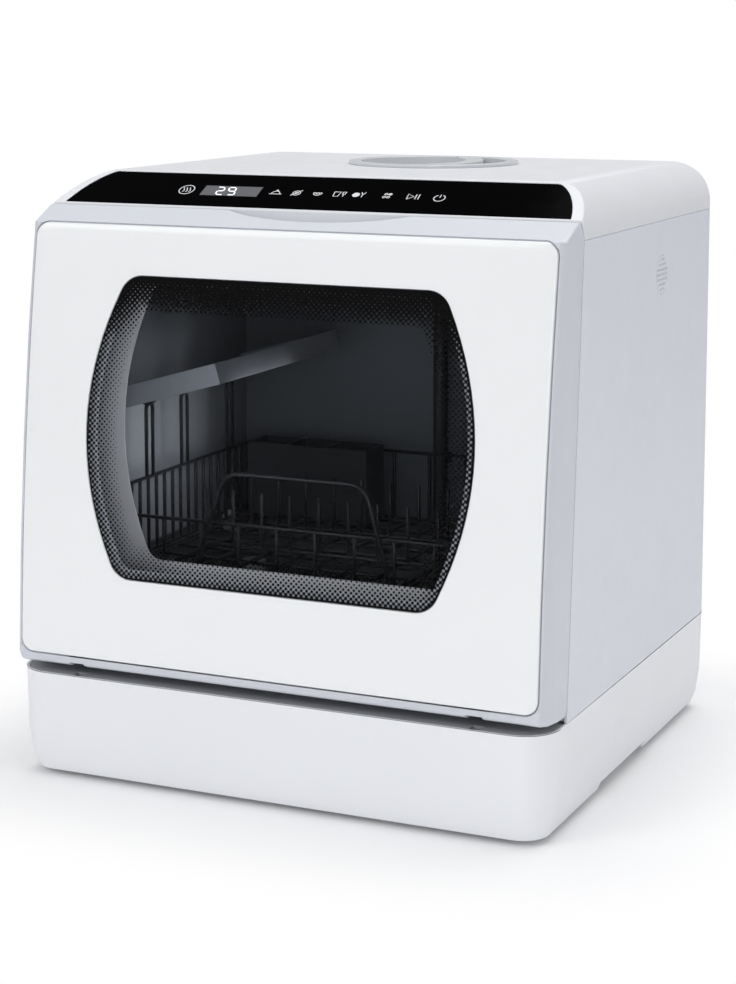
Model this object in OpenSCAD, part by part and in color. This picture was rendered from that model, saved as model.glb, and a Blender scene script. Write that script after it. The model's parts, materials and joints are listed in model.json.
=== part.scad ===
// Countertop dishwasher with a drop-down glazed door, a sliding basket and a
// built-in water tank. Millimetres, +Z up, standing on Z = 0, front face to -Y.

/* [Body] */
// Width over the side panels
body_w = 430; // [400:5:480]
// Depth from the door's face at the base to the back panel
body_d = 390; // [380:5:430]
// Height of the top cover above the surface
body_h = 455; // [445:5:500]
// Height of the base above the surface
base_h = 82; // [78:1:90]
// Height of the top cover, which is also the radius of its side corners
cover_h = 37; // [32:1:42]
// Thickness of the casing panels
wall = 2.5; // [2:0.5:3]
// Radius of the base's front corners
base_corner_r = 28; // [20:1:34]
// Radius of the rear vertical corners
rear_corner_r = 15; // [10:1:20]
// How far the base narrows towards its foot
base_taper = 8; // [4:1:10]

/* [Door] */
// Depth of the door at the base
door_d = 40; // [38:1:44]
// How far the seam behind the door leans back over its height
seam_lean = 25; // [20:1:28]
// How far the door's face leans back over its height
face_lean = 34; // [28:1:36]
// How far the face bulges forward of its own chord
face_bulge = 5.6; // [3:0.1:7]
// Thickness of the white front plate
plate_t = 4; // [3:0.5:4]
// Width of the front plate
plate_w = 414; // [384:2:416]
// Corner radius of the front plate
plate_r = 10; // [6:1:16]
// Gap between the door and the cabinet
door_gap = 1.5; // [1.2:0.1:2]
// Hinge axis above the base
pivot_up = 14; // [14:0.5:16]
// Hinge axis behind the door's face
pivot_in = 12; // [12:0.5:12.5]
// Height of the raised pan on the door's inner side
pan_h = 8; // [6:0.5:8]

/* [Window] */
// Width of the window at its middle
window_w = 310; // [260:2:320]
// White plate left above the window
window_top = 36; // [30:1:60]
// White plate left below the window
window_bottom = 62; // [50:1:80]
// How much narrower each side is at the window's top and bottom
window_barrel = 29.6; // [10:0.1:34]
// Corner radius of the window
window_r = 19; // [12:1:24]

/* [Control panel] */
// Depth of the panel in plan
panel_d = 44; // [38:1:50]
// Width of the panel's lower edge
panel_w = 412; // [380:2:416]
// Thickness of the panel glass
panel_t = 3; // [2:0.5:4]

/* [Tub] */
// Width inside the wash tub
tub_w = 376; // [350:2:384]
// Height of the tub floor above the base
tub_floor = 14; // [12:1:16]
// Height of the tub roof below the cover seam
tub_roof = 14; // [12:1:20]
// Depth of the space for the water tank behind the tub
tank_space = 52; // [44:1:60]
// Thickness of the tub sheet
tub_t = 2; // [1:0.5:2.5]

/* [Filling lid] */
// Diameter of the filling lid
lid_dia = 137; // [110:1:140]
// Lid centre to the right of the middle
lid_x = 12; // [-20:1:20]
// Lid centre in front of the back panel
lid_back = 109; // [100:1:120]
// Height of the lid above the top cover
lid_up = 2.5; // [2:0.5:5]

/* [Basket] */
// Width over the basket's side wires
basket_w = 330; // [300:2:334]
// Room behind the basket
basket_back = 32; // [31:1:60]
// Height of the side walls above the basket floor
basket_side_h = 58; // [40:1:70]
// Height of the front wall above the basket floor
basket_front_h = 36; // [24:1:44]
// Radius of the basket wire
wire_r = 1.5; // [1.2:0.1:2]
// Radius of the basket rollers
roller_r = 9; // [8:0.5:9]
// Running clearance of pins and axles
running_fit = 0.05; // [0.02:0.01:0.1]

/* [Spray arms] */
// Radius swept by each spray arm
arm_r = 106; // [80:1:108]
// Width of a spray arm
arm_w = 22; // [16:1:26]

/* [Connections] */
// How far the rear spigots stand out of the back panel
spigot_out = 18; // [14:1:24]
// Outer diameter of the threaded water inlet
inlet_dia = 26.4; // [20:0.1:27]
// Outer diameter of the drain spigot
drain_dia = 19; // [15:0.5:22]
// Height of the feet
foot_h = 4; // [3:0.5:8]
// Diameter of the feet
foot_dia = 18; // [14:1:24]

/* [Hidden] */
$fn = 48;

fit = 0.3;
side_h = body_h - base_h - cover_h;
cover_z = body_h - cover_h;
y_front = -(body_d + spigot_out) / 2;
y_back = y_front + body_d;
seam_y = y_front + door_d;
lean = atan(seam_lean / side_h);
half_w = body_w / 2;

// Door
door_z = base_h + 6;
plate_z0 = base_h + 15;
plate_z1 = cover_z + 1;
window_h = plate_z1 - plate_z0 - window_top - window_bottom;
window_z = plate_z0 + window_bottom + window_h / 2;
scoop_x = 12;
scoop_w = 152;
scoop_d = 15.5;
pivot_y = y_front + pivot_in;
pivot_z = base_h + pivot_up;
pin_r = 3;
knuckle_r = 6.5;
hinge_x = 160;
arm_t = 8;
liner_t = 2;
frame_rim = 10;
ridge_z = cover_z + 12.5;

// Control panel: the slope that it lies on
slope_y0 = seam_y + seam_lean * (ridge_z + 1 - base_h) / side_h + door_gap / 2;
slope_z0 = ridge_z + 1;
slope_a = atan((body_h - slope_z0 - 0.8) / panel_d);

// Tub
tub_z0 = base_h + tub_floor;
tub_z1 = cover_z - tub_roof;
tub_y1 = y_back - tank_space - tub_t;
tub_x = tub_w / 2;
open_z0 = tub_z0 + 8;
tub_cy = (seam_y + tub_y1) / 2 - 4;

// Basket
pan_top = pivot_z + ((seam_y - pivot_y) + seam_lean / side_h * pivot_up) * cos(lean) + pan_h - door_gap / 2;
roller_z = pan_top + 3.3 + roller_r;
rail_z = roller_z - roller_r - fit;
basket_z = roller_z + 9;
basket_y0 = seam_y + 43;
basket_y1 = tub_y1 - basket_back;
basket_d = basket_y1 - basket_y0;
roller_x = basket_w / 2 + 3.5;
roller_w = 10;
axle_r = 2.5;
roller_in = 26;
rim_z = basket_z + basket_side_h;
front_rim_z = basket_z + basket_front_h;

// Connections in the back of the base, and the grip recesses under it
inlet_x = 150;
inlet_z = 46;
drain_x = 92;
drain_z = 34;
collar = 1;
gland_x = -150;
gland_z = 46;
gland_r = 9;
grip_y0 = -70;
grip_l = 110;
grip_in = 40;

// Casing
vent_y = 44;
vent_z = cover_z - 41;
vent_r = 15;
back_x = 150;
screw_r = 1.5;
lid_y = y_back - lid_back;
lid_r = lid_dia / 2;
plug_r = lid_r - 7.5;
slope_l = panel_d / cos(slope_a);

// Opening of the tub and the front frame, in the seam's own frame
open_l0 = open_z0 - base_h;
open_l1 = tub_z1 - base_h - 1;
frame_t = 8;
seal_w = 6;
latch_l = side_h - 9;
arm_y = seam_y + 6.5;

// Inner side of the door, in the same frame
pin_l = 28;
scoop_r = scoop_w / sqrt(3);
pan_l1 = open_l1 - 5;
pan_x = tub_x - 6;
inner_e = 2;
hook_w = 28;
box_x = 60;
box_w = 78;
box_l0 = 34;
box_h = 34;
box_d = 20;
rail_w = 3;
lip = 1.5;
lid_travel = 64;

// Water system
sump_r = 58;
heater_r = 72;
float_x = -150;
float_y = 70;
pipe_y = tub_y1 - 9;
pipe_r = 6;
cup_r = 13;
cup_x = 34;
upper_z = tub_z1 - 30;
lower_z = tub_z0 + 12;

// Wires of the basket, its posts and its shelf
side_in = wire_r + 0.1;
low_z = basket_z - wire_r;
upp_z = basket_z + 0.85 * wire_r;
post_y = [for (t = [0.19, 0.446, 0.8]) basket_y0 + t * basket_d];
shelf_w = 89;
shelf_tilt = 16;
shelf_rim = 15;
tine_x = basket_w / 2 - 40;
handle_up = 78;
shelf_hinge_z = rim_z + 62;

// Position of the door's face at height z
function face_y(z) =
    let (t = (z - base_h) / side_h)
    y_front + face_lean * t - 4 * face_bulge * t * (1 - t);
// Position of the seam plane at height z
function seam_at(z) = seam_y + seam_lean * (z - base_h) / side_h;
// Points of an arc in the plane of a 2D outline
function arc(cx, cy, r, a0, a1, n) = [for (i = [0:n]) let (a = a0 + (a1 - a0) * i / n)
    [cx + r * cos(a), cy + r * sin(a)]];
// Half width of the window at dz above its middle, drawn in by e
function barrel(dz, e) = window_w / 2 - e - window_barrel * pow(dz / (window_h / 2), 2);
// Right half of the window's outline, drawn in by e, from the bottom up
function window_half(e) =
    let (h = window_h / 2 - e, r = max(window_r - e, 4),
         a = atan(2 * window_barrel * (h - r / 2) / pow(window_h / 2, 2)),
         zt = h - r * (1 - sin(a)), cx = barrel(zt, e) - r * cos(a))
    concat(arc(cx, -(h - r), r, -90, -a, 5),
           [for (i = [1:11]) let (z = -zt + 2 * zt * i / 12) [barrel(z, e), z]],
           arc(cx, h - r, r, a, 90, 5));
// Whole outline of the window, drawn in by e
function window_points(e) =
    let (p = window_half(e), n = len(p) - 1)
    concat(p, [for (i = [0:n]) [-p[n - i][0], p[n - i][1]]]);

// Flat frame of the seam behind the door: x across, y into the cabinet, z up the seam
module on_seam() {
    translate([0, seam_y, base_h]) rotate([-lean, 0, 0]) children();
}
// Rounded rectangle of the size [w, h] with corner radius r, centred
module rounded(w, h, r) {
    union() {
        square([w - 2 * r, h], center = true);
        square([w, h - 2 * r], center = true);
        for (x = [-1, 1], y = [-1, 1]) translate([x * (w / 2 - r), y * (h / 2 - r)]) circle(r);
    }
}
// Box given by its least and greatest corners
module box(a, b) {
    translate(a) cube([b[0] - a[0], b[1] - a[1], b[2] - a[2]]);
}
// Outline in x and z, extruded from y0 to y1
module across(y0, y1) {
    translate([0, y1, 0]) rotate([90, 0, 0]) linear_extrude(y1 - y0) children();
}
// Outline in y and z, extruded from x0 to x1
module along(x0, x1) {
    translate([x0, 0, 0]) rotate([90, 0, 90]) linear_extrude(x1 - x0) children();
}
// Rod between two points on one axis
module rod_x(x0, x1, y, z, r) {
    translate([x0, y, z]) rotate([0, 90, 0]) cylinder(h = x1 - x0, r = r);
}
module rod_y(x, y0, y1, z, r) {
    translate([x, y0, z]) rotate([-90, 0, 0]) cylinder(h = y1 - y0, r = r);
}
module rod_z(x, y, z0, z1, r) {
    translate([x, y, z0]) cylinder(h = z1 - z0, r = r);
}

// Plan of the cabinet, drawn in by e: large front corners, small rear ones
module plan(e) {
    rf = base_corner_r - e;
    rr = rear_corner_r - e;
    x = half_w - e;
    y0 = y_front + e;
    y1 = y_back - e;
    union() {
        translate([-x, y0 + rf]) square([2 * x, y1 - rr - y0 - rf]);
        translate([-(x - rf), y0]) square([2 * (x - rf), rf + 1]);
        translate([-(x - rr), y1 - rr - 1]) square([2 * (x - rr), rr + 1]);
        for (s = [-1, 1]) {
            translate([s * (x - rf), y0 + rf]) circle(rf);
            translate([s * (x - rr), y1 - rr]) circle(rr);
        }
    }
}
// Thin slice of the plan at height z
module slice(z, e) {
    translate([0, 0, z]) linear_extrude(0.01) plan(e);
}
// Places of the four feet
module at_feet() {
    for (x = [-1, 1], y = [y_front + 42, y_back - 34]) translate([x * (half_w - 38), y, 0]) children();
}

// ---- Base ----

module base_housing() {
    color("#E6E8EC") difference() {
        hull() {
            slice(foot_h, base_taper);
            slice(foot_h + 10, base_taper / 2);
            slice(foot_h + 30, base_taper / 8);
            slice(base_h - 0.01, 0);
        }
        hull() {
            slice(foot_h + wall, base_taper + wall);
            slice(foot_h + 30, base_taper / 8 + wall);
            slice(base_h, wall);
        }
        for (s = [-1, 1]) box([s * half_w - grip_in, grip_y0, foot_h - 1],
                              [s * half_w + grip_in, grip_y0 + grip_l, foot_h + wall + 3]);
        rod_y(inlet_x, y_back - 20, y_back + 1, inlet_z, inlet_dia / 2 + collar + fit);
        rod_y(drain_x, y_back - 20, y_back + 1, drain_z, drain_dia / 2 + collar + fit);
        rod_y(gland_x, y_back - 20, y_back + 1, gland_z, gland_r + fit);
    }
    color("#E6E8EC") {
        // posts that carry the chassis plate and the sill
        for (x = [-1, 1], y = [seam_y + 30, grip_y0 + grip_l + 16, y_back - 24])
            rod_z(x * (half_w - 18), y, foot_h + wall - 0.5, base_h, 6);
        for (x = [-1, 1]) rod_z(x * (half_w - 60), y_front + 22, foot_h + wall - 0.5, base_h - 7, 5);
        // roofs of the two grip recesses
        for (s = [-1, 1]) box([s * (half_w - 28) - 19, grip_y0 - 2, foot_h + wall + 3],
                              [s * (half_w - 28) + 19, grip_y0 + grip_l + 2, foot_h + 2 * wall + 3]);
    }
}
module base_sill() {
    ledge = base_h - 0.4;
    color("#8F9196") difference() {
        linear_extrude(ledge) intersection() {
            plan(wall + fit);
            translate([-half_w, y_front]) square([body_w, door_d + 11]);
        }
        box([-half_w, y_front, -1], [half_w, y_back, base_h - 7]);
        // lower seat of the hinge brackets and the front frame
        box([-half_w, seam_y + 1.2, ledge - 0.8], [half_w, y_back, base_h]);
        // notches in front of the hinges
        for (s = [-1, 1])
            box([s * hinge_x - 4, y_front, base_h - 4], [s * hinge_x + 4, y_front + 12, base_h]);
    }
}
module feet() {
    color("#D9DADD") at_feet() rotate_extrude()
        polygon([[0, 0.6], [foot_dia / 2 - 4, 0.6], [foot_dia / 2 - 3, 0], [foot_dia / 2 - 1, 0],
                 [foot_dia / 2, 1], [foot_dia / 2, foot_h], [0, foot_h]]);
}
module chassis_plate() {
    color("silver") difference() {
        linear_extrude(base_h + 2) intersection() {
            plan(wall + fit);
            translate([-half_w, seam_y + 12]) square([body_w, body_d]);
        }
        box([-half_w, y_front, -1], [half_w, y_back, base_h]);
        rod_z(0, tub_cy, 0, base_h + 3, 64);
        for (x = [-8, 8]) rod_z(x, tub_cy + heater_r, 0, base_h + 3, 7);
        rod_z(float_x, float_y, 0, base_h + 3, 9);
        rod_z(0, pipe_y, 0, base_h + 3, 8);
        rod_z(-40, y_back - 22, 0, base_h + 3, 8);
    }
}

// ---- Casing ----
// Outline of one side of the cabinet behind the seam, drawn in by e, on the right
module side_outline(e) {
    r = rear_corner_r - e;
    x = half_w - e;
    y = y_back - e;
    union() {
        translate([back_x - e, seam_y - 1 - e]) square([x - back_x + e, y - r - seam_y + 1 + e]);
        translate([back_x - e, y - r - 1]) square([x - r - back_x + e, r + 1]);
        translate([x - r, y - r]) circle(r);
    }
}
module side_shell(s) {
    color("#C8CBD4") difference() {
        translate([0, 0, base_h]) linear_extrude(side_h) scale([s, 1]) side_outline(0);
        translate([0, 0, base_h - 1]) linear_extrude(side_h + 2) scale([s, 1]) side_outline(wall);
        on_seam() box([-half_w - 1, -door_d * 2, -20], [half_w + 1, door_gap / 2, side_h + 20]);
        if (s > 0) rod_x(half_w - 2 * wall, half_w + 1, vent_y, vent_z, vent_r);
    }
    // flange behind the back panel, which takes its screws
    color("#C8CBD4") difference() {
        mirror([s < 0 ? 1 : 0, 0, 0]) box([back_x - 22, y_back - wall - 0.9, base_h + 2.2],
                                          [back_x + 4, y_back - wall, cover_z]);
        for (p = screw_places()) rod_y(p[0], y_back - 10, y_back, p[1], screw_r + 0.1);
    }
}
module side_panel_left() {
    side_shell(-1);
}
module side_panel_right() {
    side_shell(1);
}
module back_panel() {
    color("#B9BCC2") difference() {
        box([-back_x + 0.2, y_back - wall, base_h], [back_x - 0.2, y_back, cover_z]);
        for (i = [0:7]) let (z = base_h + 40 + 9 * i)
            box([-60, y_back - wall - 1, z], [60, y_back + 1, z + 3]);
        for (p = screw_places()) rod_y(p[0], y_back - wall - 1, y_back + 1, p[1], screw_r + 0.2);
    }
}
function screw_places() = [for (x = [-1, 1], z = [base_h + 12, base_h + side_h / 2, cover_z - 12])
    [x * (back_x - 12), z]];
module panel_screws() {
    color("dimgray") for (p = screw_places()) {
        rod_y(p[0], y_back - wall - 0.9, y_back + 0.1, p[1], screw_r);
        translate([p[0], y_back + 2, p[1]]) rotate([90, 0, 0]) cylinder(h = 2, r1 = 2.2, r2 = 3.4);
    }
}

// Cross-section of the top cover, drawn in by e, over the half width w
module cover_profile(e, w) {
    intersection() {
        translate([-w + e, cover_z]) square([2 * (w - e), cover_h - e]);
        union() {
            translate([-w + cover_h, cover_z]) square([2 * (w - cover_h), cover_h - e]);
            for (s = [-1, 1]) translate([s * (w - cover_h), cover_z]) circle(cover_h - e, $fn = 96);
        }
    }
}
// Frame of the sloping control panel: y up the slope, z out of it
module on_slope() {
    translate([0, slope_y0, slope_z0]) rotate([slope_a, 0, 0]) children();
}
// Solid of the top cover, drawn in by e, with its slope drawn in by s
module cover_solid(e, s) {
    difference() {
        intersection() {
            across(seam_y, y_back) cover_profile(e, half_w);
            linear_extrude(body_h + 1) plan(e);
        }
        on_seam() box([-half_w - 1, -door_d, -20], [half_w + 1, door_gap / 2 + e, side_h + 40]);
        on_slope() box([-half_w - 1, -60, -s], [half_w + 1, 120, 80]);
    }
}
// Outline of the control panel's glass, widened by e all round
module panel_body(e) {
    intersection() {
        across(slope_y0 - 20, slope_y0 + 80) cover_profile(-e, panel_w / 2);
        on_slope() box([-half_w, 2.5 - e, -panel_t - e / 6], [half_w, slope_l - 1.5 + e, 8]);
    }
}
module top_cover() {
    color("#DDDFE3") difference() {
        cover_solid(0, 0);
        translate([0, 0, -0.01]) cover_solid(wall, wall + panel_t);
        panel_body(0.3);
        rod_z(lid_x, lid_y, cover_z, body_h + 1, plug_r + 2);
    }
}
module control_panel() {
    color("#0B0B0D") intersection() {
        panel_body(0);
        on_slope() box([-half_w, -60, -panel_t], [half_w, 120, 0]);
    }
}
module control_board() {
    color("darkgreen") on_slope() {
        box([-140, 8, -panel_t - wall - 6], [140, slope_l - 14, -panel_t - wall - 4.4]);
        for (x = [-130, 0, 130], y = [12, slope_l - 18])
            rod_z(x, y, -panel_t - wall - 4.4, -panel_t - wall - 0.1, 3);
        box([-78, 10, -panel_t - wall - 4.4], [-40, 24, -panel_t - wall - 0.4]);
        box([60, 12, -panel_t - wall - 18], [120, slope_l - 18, -panel_t - wall - 6]);
    }
}

module front_frame() {
    color("#9FA2A8") difference() {
        on_seam() difference() {
            box([-half_w + wall + fit, door_gap / 2, 1.2],
                [half_w - wall - fit, door_gap / 2 + frame_t, side_h - 1]);
            box([-tub_x, -1, open_l0], [tub_x, frame_t + 2, open_l1]);
            box([-tub_x - seal_w, -1, open_l0 - seal_w],
                [tub_x + seal_w, door_gap / 2 + 4, open_l1 + seal_w]);
            box([-11, -1, latch_l - 1.5], [11, frame_t + 2, side_h]);
        }
        for (s = [-1, 1]) hinge_slot(s, 0.2);
    }
}
// Blind slot in the front frame for a hinge arm on the side s, widened by e
module hinge_slot(s, e) {
    box([s * hinge_x - arm_t / 2 - e, pivot_y, base_h - 2],
        [s * hinge_x + arm_t / 2 + e, arm_y + e, pivot_z + 1 + e]);
}
module door_seal() {
    color("#26272A") on_seam() difference() {
        box([-tub_x - seal_w, -door_gap / 2 + 0.35, open_l0 - seal_w],
            [tub_x + seal_w, door_gap / 2 + 4, open_l1 + seal_w]);
        box([-tub_x, -5, open_l0], [tub_x, 20, open_l1]);
        box([-tub_x - seal_w + 2, -5, open_l0 - seal_w + 2],
            [tub_x + seal_w - 2, -door_gap / 2 + 1.4, open_l1 + seal_w - 2]);
    }
}
module tub() {
    color("#55585D") difference() {
        union() {
            box([-tub_x - tub_t, seam_y, tub_z0 - tub_t], [tub_x + tub_t, tub_y1 + tub_t, tub_z1 + tub_t]);
            for (x = [-1, 1], y = [-100, 40])
                translate([x * 150 - 12, y, base_h + 2]) cube([24, 30, tub_z0 - tub_t - base_h - 1]);
        }
        box([-tub_x, seam_y - 1, tub_z0], [tub_x, tub_y1, tub_z1]);
        on_seam() box([-half_w, -60, -20], [half_w, door_gap / 2 + frame_t, side_h + 20]);
        rod_z(0, tub_cy, base_h, tub_z0 + 1, sump_r - 8);
        for (x = [-8, 8]) rod_z(x, tub_cy + heater_r, base_h, tub_z0 + 1, 4);
        rod_z(float_x, float_y, base_h, tub_z0 + 1, 6.3);
        rod_z(0, pipe_y, base_h, tub_z0 + 1, pipe_r + 0.3);
        rod_x(tub_x - 1, tub_x + tub_t + 1, vent_y, vent_z, 12);
    }
}
module hinge_brackets() {
    color("silver") for (s = [-1, 1]) difference() {
        union() {
            x0 = s * hinge_x - arm_t / 2;
            x1 = s * hinge_x + arm_t / 2;
            box([x0, pivot_y, pivot_z - 6], [x1, arm_y, pivot_z + 1]);
            box([x0, arm_y - 5, base_h - 1.2], [x1, arm_y, pivot_z]);
            box([x0 - 8, seam_y + 2.2, base_h - 1.2], [x1 + 8, seam_y + 10.5, base_h + 0.4]);
            rod_x(x0, x1, pivot_y, pivot_z, knuckle_r);
        }
        rod_x(s * hinge_x - arm_t, s * hinge_x + arm_t, pivot_y, pivot_z, pin_r + running_fit);
    }
}
module latch_switch() {
    color("white") on_seam() difference() {
        box([-16, door_gap / 2 + frame_t, latch_l + 1.3], [16, door_gap / 2 + frame_t + 26, side_h - 2]);
        box([-9, 0, latch_l - 2], [9, door_gap / 2 + frame_t + 14, side_h]);
    }
}

// ---- Door ----
// Plan of the door at height z from y0 to y1, narrower at the front
module door_slice(z, y0, y1) {
    x = half_w;
    translate([0, 0, z]) linear_extrude(0.01)
        polygon([[-x, y1], [-x + 0.6, y0 + 16], [-x + 3.5, y0 + 4], [-x + 7.5, y0],
                 [x - 7.5, y0], [x - 3.5, y0 + 4], [x - 0.6, y0 + 16], [x, y1]]);
}
function door_back(z) = seam_at(z) - door_gap / 2;
module door_frame() {
    bar_z = pivot_z + 16;
    color("#C8CBD2") difference() {
        hull() {
            door_slice(door_z, face_y(door_z) + 7, door_back(door_z) - 4);
            door_slice(door_z + 2, face_y(door_z) + 2.6, door_back(door_z) - 1);
            for (t = [0:4]) let (z = door_z + 7 + t * (plate_z1 - door_z - 7) / 4)
                door_slice(z, face_y(z) + 0.4, door_back(z));
            box([-half_w + 3, door_back(ridge_z) - 3, ridge_z - 0.01],
                [half_w - 3, door_back(ridge_z), ridge_z]);
        }
        // pocket for the front plate
        plate_body(1, 0.02, plate_t + 0.08, -2);
        // hollow of the door, open to the back
        along(-half_w + frame_rim, half_w - frame_rim) polygon(concat(
            [for (i = [0:8]) let (z = bar_z + i * (plate_z1 - 6 - bar_z) / 8) [face_y(z) + plate_t + wall, z]],
            [[seam_at(plate_z1) + 20, plate_z1 - 6], [seam_at(bar_z) + 20, bar_z]]));
        across(y_front - 20, seam_y) translate([0, window_z]) polygon(window_points(7));
        // hinge slots with the bores of their pins
        for (s = [-1, 1]) {
            box([s * hinge_x - arm_t / 2 - 2, pivot_y - 9.5, door_z - 20],
                [s * hinge_x + arm_t / 2 + 2, seam_y + 20, pivot_z + 9]);
            rod_x(s * hinge_x - pin_l / 2, s * hinge_x + pin_l / 2, pivot_y, pivot_z, pin_r);
        }
        // finger scoop in the top rim
        translate([scoop_x, door_back(ridge_z) + scoop_d, cover_z]) scale([1, 2 * scoop_d / scoop_r, 1])
            cylinder(h = 24, r = scoop_r, $fn = 96);
    }
}
module hinge_pins() {
    color("silver") for (s = [-1, 1])
        rod_x(s * hinge_x - pin_l / 2, s * hinge_x + pin_l / 2, pivot_y, pivot_z, pin_r);
}
// Curved plate on the door's face: grown by e, from the depth t0 to t1 behind the face
module plate_body(e, t0, t1, out) {
    n = 10;
    dz = (plate_z1 - plate_z0 + 2 * e) / n;
    intersection() {
        along(-half_w, half_w) polygon(concat(
            [for (i = [0:n]) let (z = plate_z0 - e + dz * i) [face_y(z) + t0 + out, z]],
            [for (i = [n:-1:0]) let (z = plate_z0 - e + dz * i) [face_y(z) + t1, z]]));
        across(y_front - 20, seam_y + 40) translate([0, (plate_z0 + plate_z1) / 2])
            rounded(plate_w + 2 * e, plate_z1 - plate_z0 + 2 * e, plate_r + e);
    }
}
module door_plate() {
    color("#ECEEF0") difference() {
        plate_body(0, 0, plate_t, 0);
        across(y_front - 20, seam_y + 20) translate([0, window_z]) polygon(window_points(0));
    }
}
module window_glass() {
    color("#101214") intersection() {
        plate_body(0, 0.3, plate_t, 0);
        across(y_front - 20, seam_y + 20) translate([0, window_z]) polygon(window_points(0.5));
    }
}
// Inner side of the door, in the seam's frame
module door_liner() {
    color("#8C9096") on_seam() difference() {
        union() {
            box([-half_w + frame_rim + 0.2, -door_gap / 2 - liner_t, pivot_up + 16.4],
                [half_w - frame_rim - 0.2, -door_gap / 2, plate_z1 - 7 - base_h]);
            box([-pan_x, -door_gap / 2 - liner_t, pivot_up + 16.5],
                [pan_x, pan_h - door_gap / 2, pan_l1]);
        }
        box([-pan_x + liner_t, -door_gap / 2 - liner_t - 1, pivot_up + 16.5 + liner_t],
            [pan_x - liner_t, pan_h - door_gap / 2 - liner_t, pan_l1 - liner_t]);
        across(-20, 40) translate([0, window_z - base_h]) polygon(window_points(inner_e + 4));
        across(pan_h - door_gap / 2 - 1, 40)
            translate([0, window_z - base_h]) polygon(window_points(inner_e));
        box([-hook_w / 2 - 0.3, -20, latch_l - 4.5], [hook_w / 2 + 0.3, 20, side_h]);
        box([box_x - box_w / 2 - 0.2, -20, box_l0 - 0.2],
            [box_x + box_w / 2 + 0.2, 20, box_l0 + box_h + 0.2]);
    }
}
module inner_glass() {
    color("#202326") on_seam() across(pan_h - door_gap / 2 - 0.95, pan_h - door_gap / 2 + 0.5)
        translate([0, window_z - base_h]) polygon(window_points(inner_e + 0.3));
}
module latch_hook() {
    color("silver") on_seam() {
        box([-7, -door_gap / 2 - liner_t, latch_l + 0.5], [7, 17, latch_l + 3.5]);
        box([-7, 13, latch_l + 0.5], [7, 17, latch_l + 5]);
        box([-hook_w / 2, -door_gap / 2 - liner_t, latch_l - 4.2],
            [hook_w / 2, -door_gap / 2, latch_l + 4.4]);
    }
}
module detergent_box() {
    y1 = pan_h - door_gap / 2;
    x0 = box_x - box_w / 2 - lid_travel - 2;
    x1 = box_x + box_w / 2;
    color("#6E7278") on_seam() union() {
        difference() {
            box([box_x - box_w / 2, y1 - box_d, box_l0], [x1, y1, box_l0 + box_h]);
            box([box_x - box_w / 2 + rail_w, y1 - box_d + 2, box_l0 + rail_w],
                [x1 - rail_w, y1 + 1, box_l0 + box_h - rail_w]);
        }
        // webs that tie the rails to the walls of the box
        for (l = [box_l0, box_l0 + box_h - rail_w])
            box([box_x - box_w / 2 + 1, y1 - 2, l + 0.5], [x1 - 1, y1 + 2, l + rail_w - 0.5]);
        // two lipped rails that the lid slides in, with a stop at their right end
        box([x0, y1, box_l0], [x1, y1 + 3.4, box_l0 + rail_w]);
        box([x0, y1 + 2.2, box_l0], [x1, y1 + 3.4, box_l0 + rail_w + lip]);
        box([x0, y1, box_l0 + box_h - rail_w], [x1, y1 + 3.4, box_l0 + box_h]);
        box([x0, y1 + 2.2, box_l0 + box_h - rail_w - lip], [x1, y1 + 3.4, box_l0 + box_h]);
        box([x1 - 2, y1 - 1, box_l0], [x1, y1 + 3.4, box_l0 + box_h]);
    }
}
module detergent_lid() {
    y1 = pan_h - door_gap / 2;
    x0 = box_x - box_w / 2 + 1;
    x1 = box_x + box_w / 2 - 2.3;
    color("#7C8086") on_seam() {
        box([x0, y1 + fit / 2, box_l0 + rail_w + 0.2], [x1, y1 + 2, box_l0 + box_h - rail_w - 0.2]);
        box([x0, y1 + 1, box_l0 + rail_w + lip + 0.3], [x1, y1 + 3.2, box_l0 + box_h - rail_w - lip - 0.3]);
        // finger ribs
        for (i = [0:2]) let (x = x0 + 4 + 4 * i)
            box([x, y1 + 3, box_l0 + 9], [x + 2, y1 + 4.2, box_l0 + box_h - 9]);
    }
}

// ---- Water system ----
module water_tank() {
    color("#D8E2E8") difference() {
        union() {
            box([-tub_x, tub_y1 + tub_t + 1, base_h + 2], [tub_x, y_back - wall - 1, tub_z1 - 2]);
            box([lid_x - 35, lid_y + lid_r + 1.5, tub_z1 - 3],
                [lid_x + 35, y_back - wall - 1, cover_z + 18]);
        }
        box([-tub_x + 2, tub_y1 + tub_t + 3, base_h + 4], [tub_x - 2, y_back - wall - 3, tub_z1 - 4]);
        box([lid_x - 33, lid_y + lid_r + 3.5, tub_z1 - 5], [lid_x + 33, y_back - wall - 3, cover_z + 16]);
        rod_y(lid_x, lid_y, lid_y + lid_r + 10, cover_z + 6, 10 + fit);
        rod_z(-40, y_back - 22, base_h, base_h + 10, 4);
    }
}
module fill_funnel() {
    r = lid_r - 4;
    color("#E2E4E8") difference() {
        union() {
            rod_z(lid_x, lid_y, tub_z1 + tub_t, body_h - wall - 0.1, r);
            rod_y(lid_x, lid_y, lid_y + lid_r + 6, cover_z + 6, 10);
        }
        rod_z(lid_x, lid_y, tub_z1 + tub_t + 2, body_h, r - 2);
        rod_y(lid_x, lid_y, lid_y + lid_r + 7, cover_z + 6, 8);
    }
}
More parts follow.
